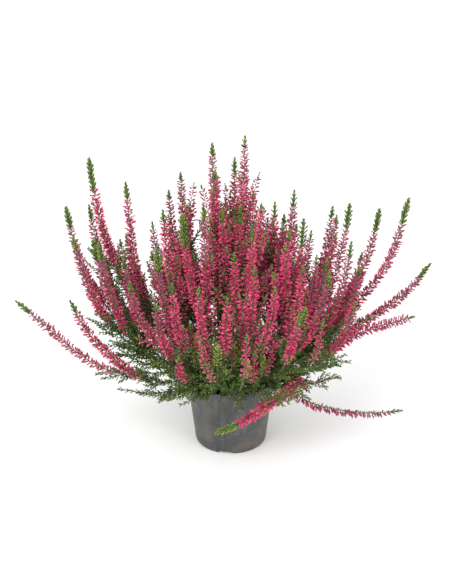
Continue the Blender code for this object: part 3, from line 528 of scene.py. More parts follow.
def bud_material():
    made, tree, shader = new_material("heather_bud", 0.5, 0.3)
    fresh = ramp(tree, attribute(tree, "tint"), [
        (0.0, (0.23, 0.017, 0.058)), (0.35, (0.49, 0.034, 0.118)),
        (0.75, (0.76, 0.056, 0.172)), (1.0, (0.84, 0.17, 0.29))])
    age, along = attribute(tree, "age"), attribute(tree, "along")
    young = mix(tree, spread(tree, age, 0.40, 1.0, 0.0, 0.72), fresh, (0.29, 0.110, 0.170))
    faded = mix(tree, spread(tree, age, 0.0, 0.30, 0.75, 0.0), young, (0.52, 0.25, 0.21))
    # Painted shade: each bud darker towards its root, where the buds crowd round the stem.
    ends = mix(tree, spread(tree, along, 0.0, 0.4, 0.5, 0.0), faded, (0.20, 0.055, 0.055))
    # Painted highlight: each bud paler towards its point.
    painted_highlight_point = mix(tree, spread(tree, along, 0.75, 1.0, 0.0, 0.25), ends, (0.70, 0.22, 0.34))
    tree.links.new(painted_highlight_point, shader.inputs["Base Color"])
    shader.inputs["Subsurface Weight"].default_value = 0.15
    shader.inputs["Subsurface Radius"].default_value = (0.002, 0.0006, 0.0008)
    shader.inputs["Subsurface Scale"].default_value = 0.5
    bump(tree, shader, object_noise(tree, 900.0), 0.35, 0.0004)
    return made


def leaf_material():
    made, tree, shader = new_material("heather_leaf", 0.5, 0.3)
    tint, along = attribute(tree, "tint"), attribute(tree, "along")
    old = ramp(tree, tint, [
        (0.0, (0.024, 0.072, 0.018)), (0.5, (0.064, 0.166, 0.033)), (1.0, (0.138, 0.295, 0.057))])
    # The top stop, which only the bright shoots' tints reach, is the yellow-green of fresh growth plus
    # painted light that makes up for the shade among the flowers.
    new = ramp(tree, tint, [
        (0.0, (0.066, 0.116, 0.024)), (0.4, (0.130, 0.200, 0.041)), (0.7, (0.205, 0.290, 0.058)),
        (0.88, (0.290, 0.400, 0.062)), (1.0, (0.52, 0.74, 0.085))])
    green = mix(tree, attribute(tree, "age"), old, new)
    # Painted shade: each leaf darker from its middle down to its root, less so on the bright shoots.
    painted_shade_root = product(tree, spread(tree, along, 0.1, 0.7, 0.80, 0.0),
                        spread(tree, tint, 0.70, 0.95, 1.0, 0.25))
    root = mix(tree, painted_shade_root, green, (0.018, 0.034, 0.008))
    # Painted highlight: each leaf paler and yellower towards its point.
    tip = mix(tree, spread(tree, along, 0.8, 1.0, 0.0, 0.22), root, (0.27, 0.29, 0.09))
    tree.links.new(tip, shader.inputs["Base Color"])
    bump(tree, shader, object_noise(tree, 1100.0), 0.3, 0.0003)
    return made


def stem_material():
    made, tree, shader = new_material("flower_stem", 0.62)
    skin = ramp(tree, attribute(tree, "age"), [
        (0.0, (0.105, 0.060, 0.032)), (0.45, (0.20, 0.135, 0.075)), (1.0, (0.19, 0.21, 0.10))])
    patches = spread(tree, object_noise(tree, 260.0), 0.35, 0.65, 0.0, 0.55)
    patchy = mix(tree, patches, skin, (0.27, 0.15, 0.10))
    tree.links.new(patchy, shader.inputs["Base Color"])
    bump(tree, shader, object_noise(tree, 700.0, 4.0, (1, 1, 0.3)), 0.5, 0.0005)
    return made


def bark_material():
    made, tree, shader = new_material("heather_bark", 0.85)
    flakes = object_noise(tree, 420.0, 5.0, (1, 1, 0.28))
    bark = ramp(tree, flakes, [
        (0.3, (0.035, 0.021, 0.013)), (0.55, (0.10, 0.062, 0.038)), (0.75, (0.19, 0.135, 0.09))])
    tree.links.new(bark, shader.inputs["Base Color"])
    bump(tree, shader, flakes, 0.8, 0.0012)
    return made


def near_point(tree, centre, stretch, reach):
    """Full at a place on the piece, falling to nothing at the reach from it."""
    length = tree.nodes.new("ShaderNodeVectorMath")
    length.operation = "LENGTH"
    tree.links.new(piece_place(tree, "TEXTURE", stretch, centre), length.inputs[0])
    return spread(tree, length.outputs["Value"], 0.0, reach, 1.0, 0.0)


def pot_material():
    made, tree, shader = new_material("scuffed_pot_plastic", 0.5)
    cloud = object_noise(tree, 26.0, 4.0)
    streaks = object_noise(tree, 120.0, 4.0, (1, 1, 0.12))
    grey = ramp(tree, cloud, [(0.3, (0.036, 0.037, 0.039)), (0.7, (0.068, 0.069, 0.069))])
    scuffed = mix(tree, spread(tree, streaks, 0.52, 0.75, 0.0, 0.55), grey, (0.145, 0.145, 0.142))
    dust = spread(tree, object_noise(tree, 45.0, 5.0), 0.50, 0.68, 0.0, 0.60)
    dusty = mix(tree, dust, scuffed, (0.120, 0.104, 0.086))
    scratches = spread(tree, object_noise(tree, 70.0, 2.0, (1, 1, 14)), 0.66, 0.70, 0.0, 0.65)
    scratched = mix(tree, scratches, dusty, (0.22, 0.22, 0.215))
    specks = spread(tree, object_noise(tree, 620.0, 1.0), 0.74, 0.80, 0.0, 0.7)
    specked = mix(tree, specks, scratched, (0.30, 0.28, 0.25))
    patch = near_point(tree, SMUDGE_PLACE, SMUDGE_STRETCH, 1.0)
    smudge = product(tree, patch, spread(tree, object_noise(tree, 240.0, 4.0), 0.30, 0.50, 0.0, 1.8))
    smudged = mix(tree, smudge, specked, (0.105, 0.084, 0.068))
    tree.links.new(smudged, shader.inputs["Base Color"])
    rough = spread(tree, cloud, 0.3, 0.7, 0.38, 0.56)
    tree.links.new(rough, shader.inputs["Roughness"])
    bump(tree, shader, object_noise(tree, 1500.0, 2.0), 0.12, 0.0003)
    return made


def peat_material():
    made, tree, shader = new_material("peat", 0.95)
    grain = object_noise(tree, 380.0, 6.0)
    brown = ramp(tree, grain, [
        (0.3, (0.010, 0.006, 0.004)), (0.55, (0.032, 0.019, 0.011)), (0.8, (0.085, 0.052, 0.030))])
    tree.links.new(brown, shader.inputs["Base Color"])
    bump(tree, shader, grain, 0.9, 0.002)
    return made


def floor_material():
    made, tree, shader = new_material("studio_floor", 0.9, 0.1)
    shader.inputs["Base Color"].default_value = (0.96, 0.96, 0.96, 1.0)
    return made


BUD, LEAF, STEM, BARK = 0, 1, 2, 3
PLANT_MATERIALS = [bud_material(), leaf_material(), stem_material(), bark_material()]


# Pieces

def place_piece(name, bm, materials, nodes):
    """Turns a bmesh in millimetres into a finished piece in metres, in place of its solids."""
    bmesh.ops.scale(bm, vec=(METRES_PER_MM,) * 3, verts=bm.verts)
    mesh = bpy.data.meshes.new(name)
    bm.to_mesh(mesh)
    bm.free()
    for material in materials:
        mesh.materials.append(material)
    piece = bpy.data.objects.new(name, mesh)
    bpy.context.scene.collection.objects.link(piece)
    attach(piece, "root")
    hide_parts(*nodes)
    return piece


def turned(profile, sides):
    """Spins an open profile of (radius, height) about the Z axis."""
    bm = bmesh.new()
    verts = [bm.verts.new((radius, 0.0, height)) for radius, height in profile]
    edges = [bm.edges.new(pair) for pair in zip(verts, verts[1:])]
    bmesh.ops.spin(bm, geom=verts + edges, cent=(0, 0, 0), axis=(0, 0, 1),
                   angle=math.tau, steps=sides, use_merge=True)
    bmesh.ops.remove_doubles(bm, verts=bm.verts, dist=0.0001)
    bmesh.ops.recalc_face_normals(bm, faces=bm.faces)
    return bm


# Layout of the shoots

def stem_places():
    """Where each woody stem stands: the middle one first, then the ring."""
    places = [Vector((0, 0, 0))]
    for count in range(RING_STEMS):
        angle = FIRST_STEM_ANGLE + count * math.tau / RING_STEMS
        places.append(Vector((RING_STEM_RADIUS * math.cos(angle), RING_STEM_RADIUS * math.sin(angle), 0)))
    return places


def smooth_route(points, count=SHOOT_STATIONS):
    """Even stations along a smooth curve through the points."""
    known = np.array(points, float)
    padded = np.vstack([2 * known[0] - known[1], known, 2 * known[-1] - known[-2]])
    fine = []
    for index in range(1, len(padded) - 2):
        before, start, end, after = padded[index - 1:index + 3]
        for share in np.linspace(0, 1, CURVE_STEPS, endpoint=False):
            fine.append(0.5 * (2 * start + (end - before) * share
                               + (2 * before - 5 * start + 4 * end - after) * share ** 2
                               + (3 * start - before - 3 * end + after) * share ** 3))
    fine.append(known[-1])
    return even_stations(np.array(fine), count)


def even_stations(line, count):
    run = np.concatenate([[0.0], np.cumsum(np.linalg.norm(np.diff(line, axis=0), axis=1))])
    wanted = np.linspace(0.0, run[-1], count)
    return np.column_stack([np.interp(wanted, run, line[:, axis]) for axis in range(3)])


def arch(start, tip):
    """The plain upright route: out from the stem, then up."""
    start, tip = np.array(start, float), np.array(tip, float)
    bend = np.array([SPREAD * tip[0], SPREAD * tip[1], start[2] + LIFT * (tip[2] - start[2])])
    shares = np.linspace(0, 1, 2 * SHOOT_STATIONS)[:, None]
    return (1 - shares) ** 2 * start + 2 * shares * (1 - shares) * bend + shares ** 2 * tip


def length_of(route):
    return float(np.linalg.norm(np.diff(route, axis=0), axis=1).sum())


class Shoot:
    """One shoot: its route, the stem it grows from, and how far its buds and its green tip reach."""

    def __init__(self, number, tip, through, budded, green):
        self.tip = np.array(tip, float)
        self.budded, self.green = budded, green
        towards = np.array(through[0] if through else tip, float)
        self.stem = self.nearest_stem(towards)
        place = stem_places()[self.stem]
        lowest, highest = BRANCH_START
        height = highest - START_STAGGER * (number % START_LEVELS)
        if not through:
            height -= min(1.0, math.hypot(towards[0], towards[1]) / FAR_OUT) * (highest - lowest)
        heading = math.atan2(towards[1], towards[0])
        start = (TRUNK_SPREAD * place.x + START_OFFSET * math.cos(heading),
                 TRUNK_SPREAD * place.y + START_OFFSET * math.sin(heading), height)
        route = [start, *through, tip] if through else arch(start, tip)
        self.route = smooth_route(route) if through else even_stations(route, SHOOT_STATIONS)
        self.first = None     # the shoot this one forks from

    def nearest_stem(self, towards):
        if math.hypot(self.tip[0], self.tip[1]) < MIDDLE_STEM_REACH:
            return 0
        angle = math.atan2(towards[1], towards[0]) - FIRST_STEM_ANGLE
        return 1 + round(angle / (math.tau / RING_STEMS)) % RING_STEMS

    def reach(self):
        """How far the shoot's buds or leaves stand out from its line, at each station."""
        total = length_of(self.route)
        left = np.linspace(1, 0, len(self.route)) * total
        reach = np.full(len(self.route), STEM_RADIUS + BARE_CLEARANCE)
        reach[left < self.budded + self.green] = BUD_REACH
        reach[left < self.green] = TIP_LEAF_REACH + LEAF_CLEARANCE
        if not self.budded:
            reach[left < LEAFY_SHARE * total] = NEEDLE_REACH
        return reach


def all_shoots():
    shoots = []
    for x, y, z, budded, green in UPRIGHT_SHOOTS:
        shoots.append(Shoot(len(shoots), (x, y, z), [], budded, green))
    for line, budded, green in WILD_SHOOTS:
        shoots.append(Shoot(len(shoots), line[-1], line[:-1], budded, green))
    leafy = []
    for line in LEAFY_SHOOTS:
        leafy.append(Shoot(len(shoots) + len(leafy), line[-1], line[:-1], 0, 0))
    return shoots, leafy


def pair_up(shoots):
    """Lets the nearest neighbours of one stem share a spike node until there are few enough nodes."""
    upright = shoots[:len(UPRIGHT_SHOOTS)]
    options = []
    for index, one in enumerate(upright):
        for other in upright[index + 1:]:
            if one.stem == other.stem:
                options.append((float(np.linalg.norm(one.tip - other.tip)), len(options), one, other))
    taken = []
    pairs = len(shoots) - SPIKE_NODES
    for _, _, one, other in sorted(options, key=lambda option: option[:2]):
        if pairs == 0:
            break
        if one in taken or other in taken:
            continue
        main, side = (one, other) if one.tip[2] >= other.tip[2] else (other, one)
        side.first = main
        taken += [one, other]
        pairs -= 1


def leave_first(first_route, own_route):
    """A second spike's route: the first one's up to the fork, then away to its own."""
    along = np.linspace(0, 1, SHOOT_STATIONS)
    left = 1 - np.clip((along - FORK_SHARE) / (FORK_END_SHARE - FORK_SHARE), 0, 1)[:, None]
    return first_route * left ** 2 + own_route * (1 - left ** 2)


def follow_first(shoots):
    for shoot in shoots:
        if shoot.first is not None:
            shoot.route = leave_first(shoot.first.route, shoot.route)


def bend_clear(shoots):
    """Bends neighbouring shoots apart where their buds would touch, evenly and a little at a time."""
    routes = np.array([shoot.route for shoot in shoots])
    plain = routes.copy()
    reach = np.array([shoot.reach() for shoot in shoots])
    count, stations = reach.shape
    owner = np.repeat(np.arange(count), stations)
    along = np.tile(np.linspace(0, 1, stations), count)
    family = np.array([shoots.index(shoot.first or shoot) for shoot in shoots])
    stem = np.array([shoot.stem for shoot in shoots])
    same = owner[:, None] == owner[None, :]
    low = (along[:, None] < FORK_END_SHARE) & (along[None, :] < FORK_END_SHARE)
    same |= (family[owner][:, None] == family[owner][None, :]) & low
    at_root = (along[:, None] < SHARED_START) & (along[None, :] < SHARED_START)
    same |= (stem[owner][:, None] == stem[owner][None, :]) & at_root
    wanted = reach.ravel()[:, None] + reach.ravel()[None, :] + CLEARANCE
    wanted[same] = 0.0
    loose = np.clip((np.linspace(0, 1, stations) - FIXED_START) / FREEING_SHARE, 0, 1)[None, :, None]
    start = routes.reshape(-1, 3)
    distance = np.sqrt(((start[:, None, :] - start[None, :, :]) ** 2).sum(-1))
    near = (distance < wanted + NEIGHBOUR_MARGIN) & (wanted > 0)
    one, other = np.nonzero(np.triu(near))
    wanted = wanted[one, other]
    for _ in range(SPREAD_ROUNDS):
        flat = routes.reshape(-1, 3)
        apart = flat[one] - flat[other]
        distance = np.sqrt((apart ** 2).sum(-1)) + TINY
        short = np.clip(wanted - distance, 0, None)
        if short.max() < CLOSE_ENOUGH:
            break
        shove = apart / distance[:, None] * short[:, None] * PUSH_SHARE
        push = np.zeros_like(flat)
        np.add.at(push, one, shove)
        np.add.at(push, other, -shove)
        size = np.linalg.norm(push, axis=1, keepdims=True)
        push *= np.minimum(1.0, LONGEST_PUSH / np.maximum(size, TINY))
        moved = routes + push.reshape(routes.shape) - plain
        for _ in range(SMOOTHINGS):
            moved[:, 1:-1] = 0.25 * moved[:, :-2] + 0.5 * moved[:, 1:-1] + 0.25 * moved[:, 2:]
            moved[:, -1] = 0.5 * moved[:, -1] + 0.5 * moved[:, -2]
        routes = plain + moved * loose
        for index, shoot in enumerate(shoots):
            if shoot.first is not None:
                routes[index] = leave_first(routes[family[index]], routes[index])
    for shoot, route in zip(shoots, routes):
        shoot.route = route


def habit_of(shoot, index):
    if not shoot.upright:
        return WILD_HABITS[index - len(UPRIGHT_SHOOTS)]
    if index == VIVID_SHOOT:
        return VIVID
    if index == CRIMSON_SHOOT:
        return CRIMSON
    if shoot.low:
        return LOW
    x, y, z = shoot.tip
    central = abs(x) < CENTRE_REACH and y < CENTRE_BACK and z < CENTRE_TOP
    return CENTRE if central else PLAIN


def lay_out():
    """Lays out the spikes' shoots and the leafy ones, and picks out those with a node of their own."""
    shoots, leafy = all_shoots()
    pair_up(shoots)
    follow_first(shoots)
    bend_clear(shoots + leafy)
    mains = [shoot for shoot in shoots if shoot.first is None]
    for index, shoot in enumerate(shoots):
        wild = index - len(UPRIGHT_SHOOTS)
        shoot.upright = wild < 0
        shoot.low = shoot.upright and shoot.tip[1] < 0 and shoot.tip[2] < LOW_SHOOT_TOP
        shoot.level = wild == LEVEL_SHOOT
        shoot.hanging = wild == HANGING_SHOOT
        shoot.habit = habit_of(shoot, index)
        shoot.fullness = FULL_WILD_TIPS.get(wild, BUSHY_FULLNESS if shoot.green > BUSHY_TIP else 1.0)
        shoot.tip_tints = FRESH_WILD_TIPS.get(wild, TIP_TINTS)
    shoots[len(UPRIGHT_SHOOTS) + HANGING_SHOOT].budded += HANGING_EXTRA_BUDS
    return shoots, leafy, mains


# Small parts: each is shaped once and set in place many times over

def between(limits, share):
    """The value that lies this share of the way from the first limit to the second."""
    return limits[0] + (limits[1] - limits[0]) * share


class Pattern:
    """A small closed form along +Z, from its root at 0 to its point at 1."""

    def __init__(self, name, profile, sides, material):
        bm = turned(profile, sides)
        for face in bm.faces:
            face.material_index = material
            face.smooth = True
        self.mesh = bpy.data.meshes.new(name)
        bm.to_mesh(self.mesh)
        bm.free()
        count = len(self.mesh.vertices)
        self.co = np.zeros(3 * count)
        self.mesh.vertices.foreach_get("co", self.co)
        along = self.mesh.attributes.new("along", "FLOAT", "POINT")
        along.data.foreach_set("value", self.co[2::3].clip(0, 1))
        for kind in ("tint", "age"):
            self.mesh.attributes.new(kind, "FLOAT", "POINT")

    def put(self, bm, root, heading, length, width, roll, tint, age, flat=1.0):
        """Adds one copy, its root at a place and its point towards the heading, broad across the stem."""
        turn = heading.to_track_quat("Z", "X").to_matrix().to_4x4() @ Matrix.Rotation(roll, 4, "Z")
        size = Matrix.Diagonal((width * flat, width, length, 1.0))
        self.mesh.vertices.foreach_set("co", self.co)
        self.mesh.transform(Matrix.Translation(root) @ turn @ size)
        count = len(self.mesh.vertices)
        self.mesh.attributes["tint"].data.foreach_set("value", [tint] * count)
        self.mesh.attributes["age"].data.foreach_set("value", [age] * count)
        bm.from_mesh(self.mesh)


SLIM_BUD = Pattern("slim_bud", [(0, 0), (0.80, 0.25), (1.0, 0.72), (0, 1)], 4, BUD)
PLUMP_BUD = Pattern("plump_bud", [(0, 0), (1.05, 0.30), (1.25, 0.74), (0, 1)], 4, BUD)
SMALL_BUD = Pattern("small_bud", [(0, 0), (0.9, 0.3), (1.1, 0.75), (0, 1)], 3, BUD)
PETAL = Pattern("petal", [(0, 0), (1.0, 0.55), (0, 1)], 4, BUD)
TIP_LEAF = Pattern("tip_leaf", [(0, 0), (0.75, 0.4), (1.0, 0.78), (0, 1)], 4, LEAF)
LEAF_SCALE = Pattern("leaf_scale", [(0, 0), (1.0, 0.45), (0, 1)], 4, LEAF)
SIDE_SHOOT = Pattern("side_shoot", [(0, 0), (0.9, 0.25), (0.9, 0.75), (0, 1)], 3, LEAF)
PLAIN_SHOOT = Pattern("plain_shoot", [(0, 0), (1.1, 0.55), (0, 1)], 3, LEAF)
NEEDLE = Pattern("needle", [(0, 0), (1.0, 0.35), (0, 1)], 3, LEAF)


# The leaves of a green twig: from one pair of side shoots to the next, their lengths and width, their form
TwigLook = namedtuple("TwigLook", "pitch lengths width pattern")
COMMON_TWIG = TwigLook(2.4, (4.2, 7.6), 0.66, SIDE_SHOOT)
SPARSE_TWIG = TwigLook(3.0, (6.0, 9.5), 0.72, SIDE_SHOOT)
INNER_TWIG = TwigLook(2.6, (5.0, 9.0), 0.80, PLAIN_SHOOT)


class Track:
    """A route with a direction and a sideways vector carried along it without twist."""

    def __init__(self, route):
        self.points = np.asarray(route, float)
        steps = np.diff(self.points, axis=0)
        self.run = np.concatenate([[0.0], np.cumsum(np.linalg.norm(steps, axis=1))])
        self.length = float(self.run[-1])
        tangents = np.gradient(self.points, axis=0)
        self.tangents = tangents / np.linalg.norm(tangents, axis=1, keepdims=True)
        side = np.cross(self.tangents[0], FRAME_HINT)
        sides = []
        for tangent in self.tangents:
            side = side - tangent * np.dot(side, tangent)
            side = side / np.linalg.norm(side)
            sides.append(side)
        self.sides = np.array(sides)

    def at(self, distance):
        def read(rows):
            return Vector([float(np.interp(distance, self.run, rows[:, axis])) for axis in range(3)])
        tangent = read(self.tangents).normalized()
        side = read(self.sides)
        side = (side - tangent * side.dot(tangent)).normalized()
        return read(self.points), tangent, side

    def heading(self, distance, angle, lean):
        """The place on the line, the direction that leans out of it there, and the way straight out."""
        centre, tangent, side = self.at(distance)
        outward = math.cos(angle) * side + math.sin(angle) * tangent.cross(side)
        return centre, (math.cos(lean) * tangent + math.sin(lean) * outward), outward


def grow_stem(bm, track, start, end, radii, step, sides, material, ages):
    """A closed tube along the track, extruded ring by ring, with its radius and age changing evenly."""
    tint_layer, age_layer, along_layer = (
        bm.verts.layers.float.get(kind) or bm.verts.layers.float.new(kind)
        for kind in ("tint", "age", "along"))
    count = max(2, round((end - start) / step))
    ring = bmesh.ops.create_circle(bm, cap_ends=True, segments=sides, radius=1.0)["verts"]
    face = next(iter(ring[0].link_faces))
    made = []
    for index in range(count + 1):
        if index == 1:
            grown = bmesh.ops.extrude_face_region(bm, geom=[face])["geom"]
            face = next(item for item in grown if isinstance(item, bmesh.types.BMFace))
        elif index > 1:
            face = bmesh.ops.extrude_discrete_faces(bm, faces=[face])["faces"][0]
        share = index / count
        centre, tangent, side = track.at(start + (end - start) * share)
        across = tangent.cross(side)
        radius = between(radii, share)
        for corner, vert in enumerate(face.verts):
            angle = corner * math.tau / sides
            vert.co = centre + radius * (math.cos(angle) * side + math.sin(angle) * across)
            vert[tint_layer] = vert[along_layer] = 0.5
            vert[age_layer] = between(ages, share)
            made.append(vert)
    faces = {linked for vert in made for linked in vert.link_faces}
    for linked in faces:
        linked.material_index = material
        linked.smooth = True
    bmesh.ops.recalc_face_normals(bm, faces=list(faces))


def near_tint(middle, rng):
    """A tint drawn round its middle value, kept between 0 and 1."""
    return min(1.0, max(0.0, rng.gauss(middle, TINT_SPREAD)))


def plant_bud(bm, track, distance, angle, share, size, habit, rng):
    """A closed bud, or an open one of four petals, at this share of the budded stretch."""
    age = between(habit.ages, share)
    lean = math.radians(rng.uniform(*BUD_LEAN) - CLOSING_LEAN * max(0.0, share - CLOSING_FROM))
    centre, heading, outward = track.heading(distance, angle, lean)
    root = centre + outward * rng.uniform(*BUD_STALK) * size
    tint = near_tint(habit.tint, rng)
    roll = rng.uniform(0, math.tau)
    if rng.random() < habit.open_share and OPEN_FROM < share < OPEN_TO:
        for petal in range(PETALS):
            turn = Matrix.Rotation(roll + petal * math.tau / PETALS, 4, heading)
            splay = turn @ heading.orthogonal().normalized()
            way = (heading + PETAL_SPLAY * splay).normalized()
            PETAL.put(bm, root, way, PETAL_LENGTH * size, PETAL_WIDTH * size, 0.0, tint, age, PETAL_FLATNESS)
        return
    pattern = PLUMP_BUD if rng.random() < PLUMP_SHARE else SLIM_BUD
    length = rng.uniform(*BUD_LENGTH) * size
    pattern.put(bm, root, heading, length, rng.uniform(*BUD_WIDTH) * size, roll, tint, age)


def plant_bract(bm, track, distance, angle, share, rng):
    """The small leaf under a bud."""
    centre, heading, _ = track.heading(distance, angle, math.radians(rng.uniform(*BRACT_LEAN)))
    length, tint = rng.uniform(*BRACT_LENGTH), rng.random()
    NEEDLE.put(bm, centre, heading, length, BRACT_WIDTH, 0.0, tint, between(BRACT_AGES, share))


def leafy_tip(bm, track, start, end, fullness, rng, tints, pattern=TIP_LEAF):
    """Crossed pairs of leaves, with smaller ones between them, that close up to the point."""
    pitch = TIP_RING_PITCH * (FULL_TIP_CLOSER if fullness > FULL_TIP else 1.0)
    rings = max(TIP_FEWEST_RINGS, round((end - start) / pitch))
    for ring in range(rings):
        distance = start + (end - start) * ring / rings
        open_out = between((TIP_POINT, 1.0), min(1.0, (end - distance) / TIP_CLOSES_OVER))
        for leaf in range(TIP_RING_LEAVES):
            look = INNER_LEAF if leaf % 2 else OUTER_LEAF
            angle = (ring + leaf) * math.tau / TIP_RING_LEAVES + rng.uniform(-TIP_LEAF_TURN, TIP_LEAF_TURN)
            lean = math.radians(rng.uniform(*look.leans)) * open_out
            centre, heading, _ = track.heading(distance, angle, lean)
            length = rng.uniform(*look.lengths) * fullness * open_out
            broad = look.width * math.sqrt(fullness) * between((TIP_POINT, 1.0), open_out)
            pattern.put(bm, centre, heading, length, broad, 0.0, rng.uniform(*tints), 1.0, TIP_LEAF_FLATNESS)


def green_twig(bm, route, radius, age, rng, bare=0.0, look=COMMON_TWIG):
    """A thin twig with short leafy side shoots in crossed pairs."""
    track = Track(route)
    radii = (radius, TWIG_TAPER * radius)
    grow_stem(bm, track, 0.0, track.length, radii, TWIG_STEM_STEP, TWIG_STEM_SIDES, STEM, TWIG_STEM_AGES)
    pairs = max(2, round((track.length - bare) / look.pitch))
    for pair in range(pairs):
        share = (pair + 0.5) / pairs
        distance = bare + (track.length - bare) * share
        freshness = min(1.0, age + TWIG_FRESHER * share)
        narrower = 1.0 - TWIG_NARROWER * share
        for side in range(2):
            angle = pair * math.pi / 2 + side * math.pi + rng.uniform(-SIDE_SHOOT_TURN, SIDE_SHOOT_TURN)
            lean = math.radians(rng.uniform(*SIDE_SHOOT_LEAN)) * narrower
            centre, heading, _ = track.heading(distance, angle, lean)
            length, tint = rng.uniform(*look.lengths) * narrower, rng.uniform(*TWIG_TINTS)
            look.pattern.put(bm, centre, heading, length, look.width, 0.0, tint, freshness)


def twig_from(track, distance, angle, lean, length, rise, rng):
    """The route of a side twig that leaves the track, then rises or sags a little."""
    centre, heading, _ = track.heading(distance, angle, lean)
    middle = centre + heading * (0.5 * length) + Vector((0, 0, TWIG_SAG * rise))
    wander = [rng.uniform(-TWIG_WANDER, TWIG_WANDER) for _ in range(2)]
    end = centre + heading * length + Vector((*wander, rise))
    if centre.z > TWIG_LOWEST:
        end.z = max(end.z, TWIG_LOWEST)
    return smooth_route([centre, middle, end], TWIG_STATIONS)


# Flower spikes

def flowering_sprig(bm, route, rng):
    """A short side shoot: small buds from near its root, and a green point."""
    track = Track(route)
    grow_stem(bm, track, 0.0, track.length - SPRIG_STEM_END, SPRIG_RADII, SPRIG_STEM_STEP,
              SPRIG_STEM_SIDES, STEM, SPRIG_STEM_AGES)
    green_from = track.length - rng.uniform(*SPRIG_GREEN)
    buds_from = rng.uniform(*SPRIG_BARE) * track.length
    vividness = rng.gauss(*SPRIG_VIVIDNESS)
    count = round((green_from - buds_from) / SPRIG_BUD_PITCH)
    for index in range(count):
        share = (index + 0.5) / count
        distance = buds_from + (green_from - buds_from) * share
        angle = index * GOLDEN_TURN
        if index % SPRIG_BRACT_EVERY == SPRIG_BRACT_EVERY - 1:
            plant_bract(bm, track, distance, angle, share, rng)
            continue
        lean = math.radians(rng.uniform(*BUD_LEAN))
        centre, heading, outward = track.heading(distance, angle, lean)
        root = centre + outward * rng.uniform(*SPRIG_BUD_STALK)
        tint = near_tint(vividness, rng)
        length = rng.uniform(*BUD_LENGTH) * (1.0 - SPRIG_BUD_SMALLER * share)
        width = rng.uniform(*BUD_WIDTH)
        SMALL_BUD.put(bm, root, heading, length, width, 0.0, tint, between(SPRIG_BUD_AGES, share))
    leafy_tip(bm, track, green_from, track.length, SPRIG_TIP_FULLNESS, rng, SPRIG_TIP_TINTS, LEAF_SCALE)


def grow_sprigs(bm, track, start, end, rng):
    """Flowering sprigs beside a spike. Those far out on the plant lean in, towards its axis."""
    behind = track.points[-1][1] > BEHIND
    base, rise = BEHIND_SPRIG_LOWEST if behind else (SPRIG_LOWEST, SPRIG_RISE)
    distance = start
    while distance < end:
        foot, along, _ = track.at(distance)
        if foot.z > min(SPRIG_HIGHEST_START, base + rise * foot.xy.length):
            angle = rng.uniform(0, math.tau)
            lean = math.radians(rng.uniform(*SPRIG_LEAN))
            length = min(rng.uniform(*SPRIG_LENGTH), SPRIG_REACH * (track.length - distance))
            if foot.xy.length > SPRIG_FAR_OUT:
                lean = min(lean, SPRIG_FAR_LEAN)
                length = min(length, SPRIG_FAR_LENGTH)
            way = track.heading(distance, angle, lean)[1]
            if foot.xy.length > SPRIG_TURNS_IN and way.xy.dot(foot.xy) > along.xy.dot(foot.xy):
                angle += math.pi
            route = twig_from(track, distance, angle, lean, length, SPRIG_LIFT * length, rng)
            flowering_sprig(bm, route, rng)
        closer = BEHIND_STEP if behind and foot.z < SPRIG_HIGHEST_START else 1.0
        distance += rng.uniform(*SPRIG_STEP) * closer


def grow_spike(bm, shoot, start, rng):
    """One shoot from its start up: the stem, the twigs and sprigs beside it, its buds and its leafy tip."""
    track = Track(shoot.route)
    green_from = track.length - shoot.green
    buds_from = max(green_from - shoot.budded, start + LOWEST_BUD)
    grow_stem(bm, track, start, track.length - SPIKE_STEM_END, FLOWER_STEM_RADIUS, FLOWER_STEM_STEP,
              FLOWER_STEM_SIDES, STEM, FLOWER_STEM_AGES)
    twigs_to = buds_from - SPIKE_TWIGS_STOP
    grow_spike_twigs(bm, track, start + SPIKE_TWIGS_START, twigs_to, shoot.low, rng)
    if shoot.upright and not shoot.low:
        grow_sprigs(bm, track, start + SPRIG_START, buds_from + SPRIG_OVERLAP * shoot.budded, rng)
    if shoot.hanging:
        dress_hanging_shoot(bm, track, buds_from, shoot.budded, green_from, rng)
    grow_bud_rings(bm, track, buds_from, green_from, shoot, rng)
    tip_end = track.length - TIP_END * shoot.fullness
    leafy_tip(bm, track, green_from - TIP_START, tip_end, shoot.fullness, rng, shoot.tip_tints)


def grow_spike_twigs(bm, track, distance, end, low, rng):
    """Green twigs on the bare stretch below the buds."""
    while distance < end:
        angle = rng.uniform(0, math.tau)
        length = rng.uniform(*TWIGS_ON_SPIKES.lengths) * (LOW_SHOOT_TWIG_LENGTH if low else 1.0)
        lean = math.radians(rng.uniform(*TWIGS_ON_SPIKES.leans))
        route = twig_from(track, distance, angle, lean, length, rng.uniform(*TWIGS_ON_SPIKES.rises), rng)
        age = rng.uniform(*SPIKE_TWIG_AGES) * (LOW_SHOOT_TWIG_AGE if low else 1.0)
        green_twig(bm, route, TWIG_RADIUS, age, rng, 0.0, INNER_TWIG)
        distance += rng.uniform(*TWIGS_ON_SPIKES.steps) * (LOW_SHOOT_TWIG_STEP if low else 1.0)


